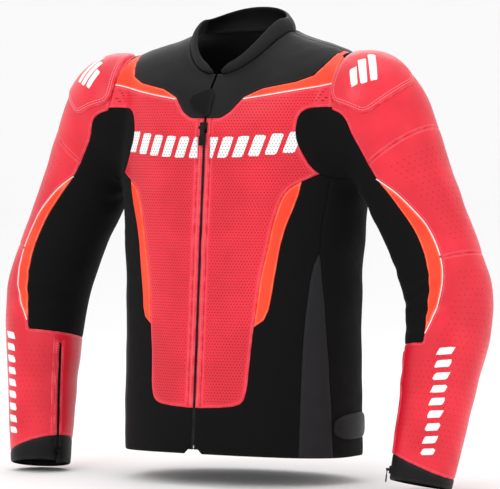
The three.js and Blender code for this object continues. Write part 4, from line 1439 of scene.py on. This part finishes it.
# Shoulder cups, with a rolled rim and two rows of stitching.
cup_line = arm_outline(
    [[0.42, -10], [0.42, 36], [0.5, 80], [1.3, 82], [2.0, 77], [2.16, 40], [2.1, -4], [1.3, -12]]
)
cut = cut_out(arm, [cup_line])
cups, cup_surface = sewn_piece(
    "shoulder_cup", cut, [cup_line], cup_red, arm=True, lift=0.0046, dip=0.0044, roll=0.008,
    thick=0.0046, sides=LEFT_RIGHT
)
emblem_bars = [
    [[0.92, 20], [1.06, 15], [1.62, 44], [1.5, 50]],
    [[0.86, 33], [1.0, 27], [1.46, 52], [1.34, 58]],
    [[0.84, 47], [0.96, 41], [1.26, 58], [1.14, 64]],
]
for piece, side in zip(cups, LEFT_RIGHT):
    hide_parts("shoulder_cup" + side)
    turns_at_shoulder(piece, side)
for number, bar in enumerate(emblem_bars, 1):
    line = straight_sided(laid_near(sleeve(*np.array(bar).T)))
    for piece, side in zip(
        printed(f"cup_emblem_{number}", cup_surface, line, plain_white, True, LEFT_RIGHT), LEFT_RIGHT
    ):
        turns_at_shoulder(piece, side)

# Slanted bars printed across the chest, punched through with the leather, and plain bars printed down the
# forearms.
BAR_COUNT = 12
for number in range(BAR_COUNT):
    x = -131 + 262 * number / (BAR_COUNT - 1)
    z = -130 + 9 * (x / 140) ** 2
    top = z + 15
    low = z - 15
    lean = 0.34
    quad = [[x - 8 + lean * (low - z), low], [x + 8 + lean * (low - z), low]]
    quad += [[x + 8 + lean * (top - z), top], [x - 8 + lean * (top - z), top]]
    mirror = x < 0
    if mirror:
        quad = [[-a, b] for a, b in quad]
    line = straight_sided(laid_from(quad, -1))
    side = "_right" if mirror else "_left"
    (piece,) = printed(f"chest_bar_{number + 1:02d}", chest_surface, line, white_print, False, ("",))
    if mirror:
        piece.data.transform(((-1, 0, 0, 0), (0, 1, 0, 0), (0, 0, 1, 0), (0, 0, 0, 1)))
        piece.data.flip_normals()
    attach(piece, "torso")
for number in range(9):
    s = 8.35 + number * 0.31
    wide = 11
    quad = [[s, 60 - wide], [s + 0.19, 60 - wide + 4], [s + 0.26, 60 + wide + 4], [s + 0.07, 60 + wide]]
    line = straight_sided(laid_near(sleeve(*np.array(quad).T)))
    for piece, side in zip(
        printed(f"forearm_bar_{number + 1}", forearm_surface, line, plain_white, True, LEFT_RIGHT),
        LEFT_RIGHT,
    ):
        turns_at_elbow(piece, side)

# The throat flap and the waist tabs.
flap_line = front_outline([[9, -44], [-24, -52], [-32, -62], [-24, -76], [-4, -87], [9, -85]], 1)
cut = cut_out(front_face, [flap_line])
(flap,), _ = sewn_piece(
    "throat_flap", cut, [flap_line], flap_leather, lift=0.0026, dip=0.0016, roll=0.0024, thick=0.002
)
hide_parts("throat_flap")
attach(flap, "throat_flap")

tab_line = side_outline([[73.5, -511], [112, -511], [112, -548], [73.5, -548]], 2)
cut = cut_out(trunk, [tab_line])
tabs, _ = sewn_piece(
    "waist_tab", cut, [tab_line], black_leather, lift=0.0036, dip=0.0016, roll=0.0028, thick=0.003,
    sides=LEFT_RIGHT
)
for piece, side in zip(tabs, LEFT_RIGHT):
    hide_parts("waist_tab" + side)
    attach(piece, "waist_tab" + side)

# The lining, the protector, the hanger loop and the connection zip, on the inside.


def off_front_zip(p):
    return np.maximum(np.abs(p[:, 0]) - 0.013, p[:, 1]), p[:, 2]


def above_hem_fold(p):
    side, run = hem(p)
    return side - 0.016, run


def inner_layer(name, cut, near, far, material, arm=False, sides=("",)):
    cloth = place_on_cloth(cut.points, arm)
    outer = cut.points - cut.normals * near
    inner = cut.points - cut.normals * far
    edge = np.full(len(cut.points), 0.02)
    return [
        build(
            name + side, outer, inner, cut.tris, edge, edge, cloth, material, side == "_right"
        ) for side in sides
    ]


lining_cut = cut_out(whole, [], [above_hem_fold, neck, before_armhole, before_right_armhole, off_front_zip])
(lining,) = inner_layer("torso_lining", lining_cut, 0.0046, 0.0054, mesh_cloth)
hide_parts("torso_lining")
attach(lining, "torso")
wrist_cut = cut_out(arm, [], [ring_plane(9.0), flipped(ring_plane(11.9))])
for piece, side in zip(
    inner_layer("wrist_lining", wrist_cut, 0.0042, 0.005, mesh_cloth, True, LEFT_RIGHT), LEFT_RIGHT
):
    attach(piece, "forearm" + side)

pad_line = back_outline(
    [[-84, -346], [84, -346], [104, -210], [98, -72], [54, -50], [-54, -50], [-98, -72], [-104, -210]]
)
cut = cut_out(back_face, [pad_line])
(back_pad,), _ = sewn_piece(
    "back_protector", cut, [pad_line], pad_foam, lift=-0.0064, dip=0.003, crown=0, roll=0.008, thick=0.0094
)
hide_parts("back_protector")
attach(back_pad, "torso")
elbow_line = arm_outline(
    [[7.05, -82], [7.05, -30], [7.05, 24], [7.6, 28], [8.3, 20], [8.42, -30], [8.3, -80], [7.6, -88]]
)
cut = cut_out(arm, [elbow_line])
elbow_pads, _ = sewn_piece(
    "elbow_armour", cut, [elbow_line], pad_foam, arm=True, lift=-0.0052, dip=0.002, crown=0, roll=0.006,
    thick=0.0072, sides=LEFT_RIGHT
)
for piece, side in zip(elbow_pads, LEFT_RIGHT):
    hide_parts("elbow_armour" + side)
    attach(piece, "forearm" + side)

loop_line = back_outline([[-16, 31], [16, 31], [16, 39], [-16, 39]], 1)
cut = cut_out(back_face, [loop_line])
(loop,), _ = sewn_piece(
    "hanger_loop", cut, [loop_line], black_leather, lift=-0.0058, dip=0.0004, crown=0, roll=0.001,
    thick=0.0014
)
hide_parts("hanger_loop")
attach(loop, "torso")

trouser_line = back_outline([[-134, -553], [134, -553], [134, -573.6], [-134, -573.6]], 0)
cut = cut_out(back_face, [trouser_line])
(trouser_tape,), _ = sewn_piece(
    "connection_zip", cut, [trouser_line], zip_tape, lift=-0.0042, dip=0.0002, crown=0, roll=0.001,
    thick=0.0016
)
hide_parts("connection_zip")
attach(trouser_tape, "torso")


# ---- Zips ----------------------------------------------------------------------------------------


def tooth_row(name, places, across, outward, along, size, material, mirror=False):
    """Teeth with a tapered head, one at each place."""
    wide, tall, long = size
    shape = []
    for w, u0, u1 in ((-0.5, 0.0, 0.62), (-0.24, 0.0, 1.0), (0.24, 0.0, 1.0), (0.5, 0.0, 0.62)):
        shape += [(u0, -0.5, w), (u1, -0.42, w), (u1, 0.42, w), (u0, 0.5, w)]
    shape = np.array(shape) * [wide, tall, long]
    rows = []
    faces = []
    for count, (place, u, v, w) in enumerate(zip(places, across, outward, along)):
        rows.append(place + shape[:, :1] * u + shape[:, 1:2] * v + shape[:, 2:] * w)
        start = count * 16
        for ring in range(3):
            for k in range(4):
                a, b = start + ring * 4 + k, start + ring * 4 + (k + 1) % 4
                faces.append((a, b, b + 4, a + 4))
        faces += [tuple(start + k for k in (3, 2, 1, 0)), tuple(start + 12 + k for k in range(4))]
    points = np.concatenate(rows)
    if mirror:
        points = points * [-1, 1, 1]
        faces = [tuple(reversed(face)) for face in faces]
    mesh = bpy.data.meshes.new(name)
    mesh.from_pydata(points.tolist(), [], faces)
    mesh.materials.append(material)
    piece = bpy.data.objects.new(name, mesh)
    bpy.context.scene.collection.objects.link(piece)
    return piece


def straight_zip(name, origin, u, v, w, run, tape_half, body_name, node, mirrored_side, first=0.001):
    """The tape and the teeth of one side of a straight zip; u points from the middle to this side."""
    places = np.arange(first, run, 0.0024)
    base = origin + places[:, None] * w + u * 0.0003 - v * 0.0022
    same = np.ones((len(places), 1))
    teeth = tooth_row(
        name + "_teeth",
        base,
        same * u,
        same * v,
        same * w,
        (0.0021, 0.002, 0.0014),
        tooth_metal,
        mirrored_side,
    )
    steps = np.linspace(first - 0.001, run, 60)
    loop = [(0.0011, -0.0034), (tape_half, -0.0046), (tape_half, -0.0053), (0.0011, -0.0041)]
    rings = np.array([[origin + w * s + u * a + v * b for a, b in loop] for s in steps])
    tape = lofted(name, rings, zip_tape, mirror=mirrored_side)
    for piece in (teeth, tape):
        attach(piece, body_name)
    if node:
        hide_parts(node)


FRONT_TOP = np.array([0.0, -0.11648, -0.093])
FRONT_V = np.array([0.0, -0.9972, 0.0743])
FRONT_W = np.array([0.0, -0.0743, -0.9972])
for side, turned in (("_left", False), ("_right", True)):
    straight_zip(
        "front_zip_half" + side, FRONT_TOP, np.array([1.0, 0, 0]), FRONT_V, FRONT_W, 0.468, 0.0135,
        "torso", "front_zip_half" + side, turned
    )
    for mark, u in (("outer", CUFF_U), ("inner", -CUFF_U)):
        node = "cuff_zip" + side if mark == "outer" else None
        straight_zip(
            "cuff_zip_" + mark + side, CUFF_ZIP_TOP, u, CUFF_V, CUFF_W, 0.172, 0.008, "forearm" + side,
            node, turned
        )


def placket(p):
    r = p - CUFF_ZIP_TOP
    u = r @ CUFF_U
    w = r @ CUFF_W
    side = np.minimum(np.minimum(u - 0.0026, 0.0125 - u), w + 0.006)
    return np.where(r @ CUFF_V > -0.03, side, -0.05), w


placket_sewn = [placket, before_cuff_line]
cut = cut_out(arm, placket_sewn)
plackets, _ = sewn_piece(
    "cuff_placket", cut, placket_sewn, red_leather, arm=True, lift=0.0016, dip=0.0014, roll=0.0022,
    thick=0.0015, sides=LEFT_RIGHT
)
for piece, side in zip(plackets, LEFT_RIGHT):
    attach(piece, "forearm" + side)

# ---- White piping along the orange bands ---------------------------------------------------------


def piping(name, line, keep, radius=0.0009, mirror=False, material=white_piping):
    p = line.p[1:-1]
    n = line.n[1:-1]
    t = line.t[1:-1]
    good = keep(p)
    p, n, t = p[good], n[good], t[good]
    b = np.cross(t, n)
    turn = np.linspace(0, 2 * math.pi, 9)[:-1]
    rings = p[:, None] + n[:, None] * (np.cos(turn) * radius - 0.0002)[None, :, None]
    rings = rings + b[:, None] * (np.sin(turn) * radius)[None, :, None]
    return lofted(name, rings, material, mirror=mirror)


side_curve = side_line(SIDE_CURVE)


def arm_ring(p):
    return sleeve_chart(p)[0]


for side, turned in (("_left", False), ("_right", True)):
    piece = piping(
        "yoke_piping" + side, trim_line, lambda p: (past_armhole(p) < 0) & (p[:, 0] > 0.053), mirror=turned
    )
    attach(piece, "torso")
    piece = piping(
        "side_curve_seam" + side, side_curve, lambda p: p[:, 2] < 0, mirror=turned, material=flap_leather
    )
    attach(piece, "torso")
    piece = piping(
        "upper_arm_piping" + side,
        arm_trim_line,
        lambda p: (arm_ring(p) > 3.46) & (arm_ring(p) < 5.9),
        mirror=turned,
    )
    turns_at_shoulder(piece, side)
    piece = piping(
        "forearm_piping" + side,
        arm_trim_line,
        lambda p: (arm_ring(p) > 5.88) & (arm_ring(p) < 8.1),
        mirror=turned,
    )
    turns_at_elbow(piece, side)

# ---- Collar --------------------------------------------------------------------------------------
COLLAR_TOP = np.array([66.0, 84.0, 52.0, -12.0, 57.0, 76.0])


def collar_point(t, angle, inset):
    ring = BODY_RINGS[NECK] + (COLLAR_TOP - BODY_RINGS[NECK]) * t
    s = math.sin(math.radians(angle))
    c = math.cos(math.radians(angle))
    belly = 2.5 * math.sin(math.pi * t) - inset
    height = ring[4] + ((ring[3] if c > 0 else ring[5]) - ring[4]) * abs(c) ** 1.6 + 0.8 * (1 - t)
    y = -((ring[1] if c > 0 else ring[2]) + belly) * float(rounded(c))
    return np.array([(ring[0] + belly) * float(rounded(s)), y, height]) * MM


def collar(name, start, stop, material, mirror=False):
    angles = np.linspace(start, stop, 40)
    rings = []
    edges = []
    for angle in angles:
        from_front = min(angle, 360 - angle) - 5
        top = 1 - 0.62 * (1 - min(1, from_front / 13)) ** 2 if from_front < 13 else 1
        loop = [(t * top, 0.0) for t in np.linspace(0.0, 0.93, 9)]
        loop += [
            (
                top * (0.93 + 0.07 * math.sin(a)), 2.3 - 2.3 * math.cos(a)
            ) for a in np.linspace(0.3, math.pi - 0.3, 7)
        ]
        loop += [(t * top, 4.6) for t in np.linspace(0.93, -0.16, 10)]
        rings.append([collar_point(t, angle, inset) for t, inset in loop])
        tall = np.linalg.norm(collar_point(top, angle, 0) - collar_point(0, angle, 0))
        end = min(angle - start, stop - angle) / (stop - start) * 0.2
        edges.append(
            [max(0, min(tall * (1 - t / top), tall * t / top + 0.004, end + 0.0005)) for t, _ in loop]
        )
    return lofted(name, np.array(rings), material, edge=np.array(edges), mirror=mirror)


collar_back = collar("collar_back", 95.3, 264.7, black_leather)
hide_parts("collar_back")
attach(collar_back, "torso")
for side, turned in (("_left", False), ("_right", True)):
    piece = collar("collar_front" + side, 5, 94.7, collar_cloth, turned)
    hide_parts("collar_front" + side)
    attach(piece, "torso")

# The sliders and pullers keep their own shapes.
for node in (
    "front_zip_slider",
    "front_zip_puller",
    *[f"cuff_{part}{side}" for part in ("slider", "puller") for side in LEFT_RIGHT],
):
    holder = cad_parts[node]
    holder.data.materials.clear()
    holder.data.materials.append(slider_metal)

# ---- Room, light and camera ----------------------------------------------------------------------


def room():
    """A pale floor that sweeps up into a pale wall behind."""
    profile = [(-16.0, 0.0), (14.0, 0.0)]
    profile += [
        (14.0 + 3.0 * math.sin(a), 3.0 - 3.0 * math.cos(a)) for a in np.linspace(0.1, math.pi / 2, 12)
    ]
    profile += [(17.0, 9.0)]
    points = []
    for x in (-16.0, 16.0):
        points += [(x, y, z - 0.6128) for y, z in profile]
    n = len(profile)
    faces = [(i, i + 1, n + i + 1, n + i) for i in range(n - 1)]
    mesh = bpy.data.meshes.new("floor")
    mesh.from_pydata(points, [], faces)
    for polygon in mesh.polygons:
        polygon.use_smooth = True
    floor = bpy.data.objects.new("floor", mesh)
    floor.rotation_euler.z = math.radians(30)
    bpy.context.scene.collection.objects.link(floor)
    material, _, shader = new_material("pale floor")
    shader.inputs["Base Color"].default_value = (0.96, 0.96, 0.96, 1)
    shader.inputs["Roughness"].default_value = 0.8
    mesh.materials.append(material)


def lamp(name, place, aim, size, power):
    light = bpy.data.lights.new(name, "AREA")
    light.shape = "RECTANGLE"
    light.size, light.size_y = size
    light.energy = power
    holder = bpy.data.objects.new(name, light)
    holder.location = place
    holder.rotation_euler = (Vector(aim) - Vector(place)).to_track_quat("-Z", "Y").to_euler()
    bpy.context.scene.collection.objects.link(holder)


room()
VIEW = math.radians(30)
TILT = math.radians(2)
toward_camera = Vector((math.sin(VIEW) * math.cos(TILT), -math.cos(VIEW) * math.cos(TILT), math.sin(TILT)))
to_right = Vector((math.cos(VIEW), math.sin(VIEW), 0))
aim = Vector((0, 0, -0.272)) + to_right * 0.007
lamp("key light", aim + toward_camera * 2.2 - to_right * 1.5 + Vector((0, 0, 1.9)), aim, (1.6, 1.6), 18)
lamp("fill light", aim + toward_camera * 2.4 + to_right * 2.0 + Vector((0, 0, 0.6)), aim, (1.8, 1.8), 8)
lamp("top light", aim + Vector((0, 0, 2.4)), aim, (2.4, 1.6), 11)
lamp("back light", aim - toward_camera * 2.0 + Vector((0, 0, 1.6)), aim, (2.0, 1.2), 8)
world = bpy.data.worlds.new("soft surround")
world.use_nodes = True
world.node_tree.nodes["Background"].inputs[0].default_value = (1, 1, 1, 1)
world.node_tree.nodes["Background"].inputs[1].default_value = 1.0
bpy.context.scene.world = world

camera = bpy.data.objects.new("camera", bpy.data.cameras.new("camera"))
camera.data.lens = 246.6
camera.data.sensor_width = 36
camera.location = aim + toward_camera * 5
camera.rotation_euler = (-toward_camera).to_track_quat("-Z", "Y").to_euler()
bpy.context.scene.collection.objects.link(camera)
bpy.context.scene.camera = camera
bpy.context.scene.view_settings.view_transform = "Standard"
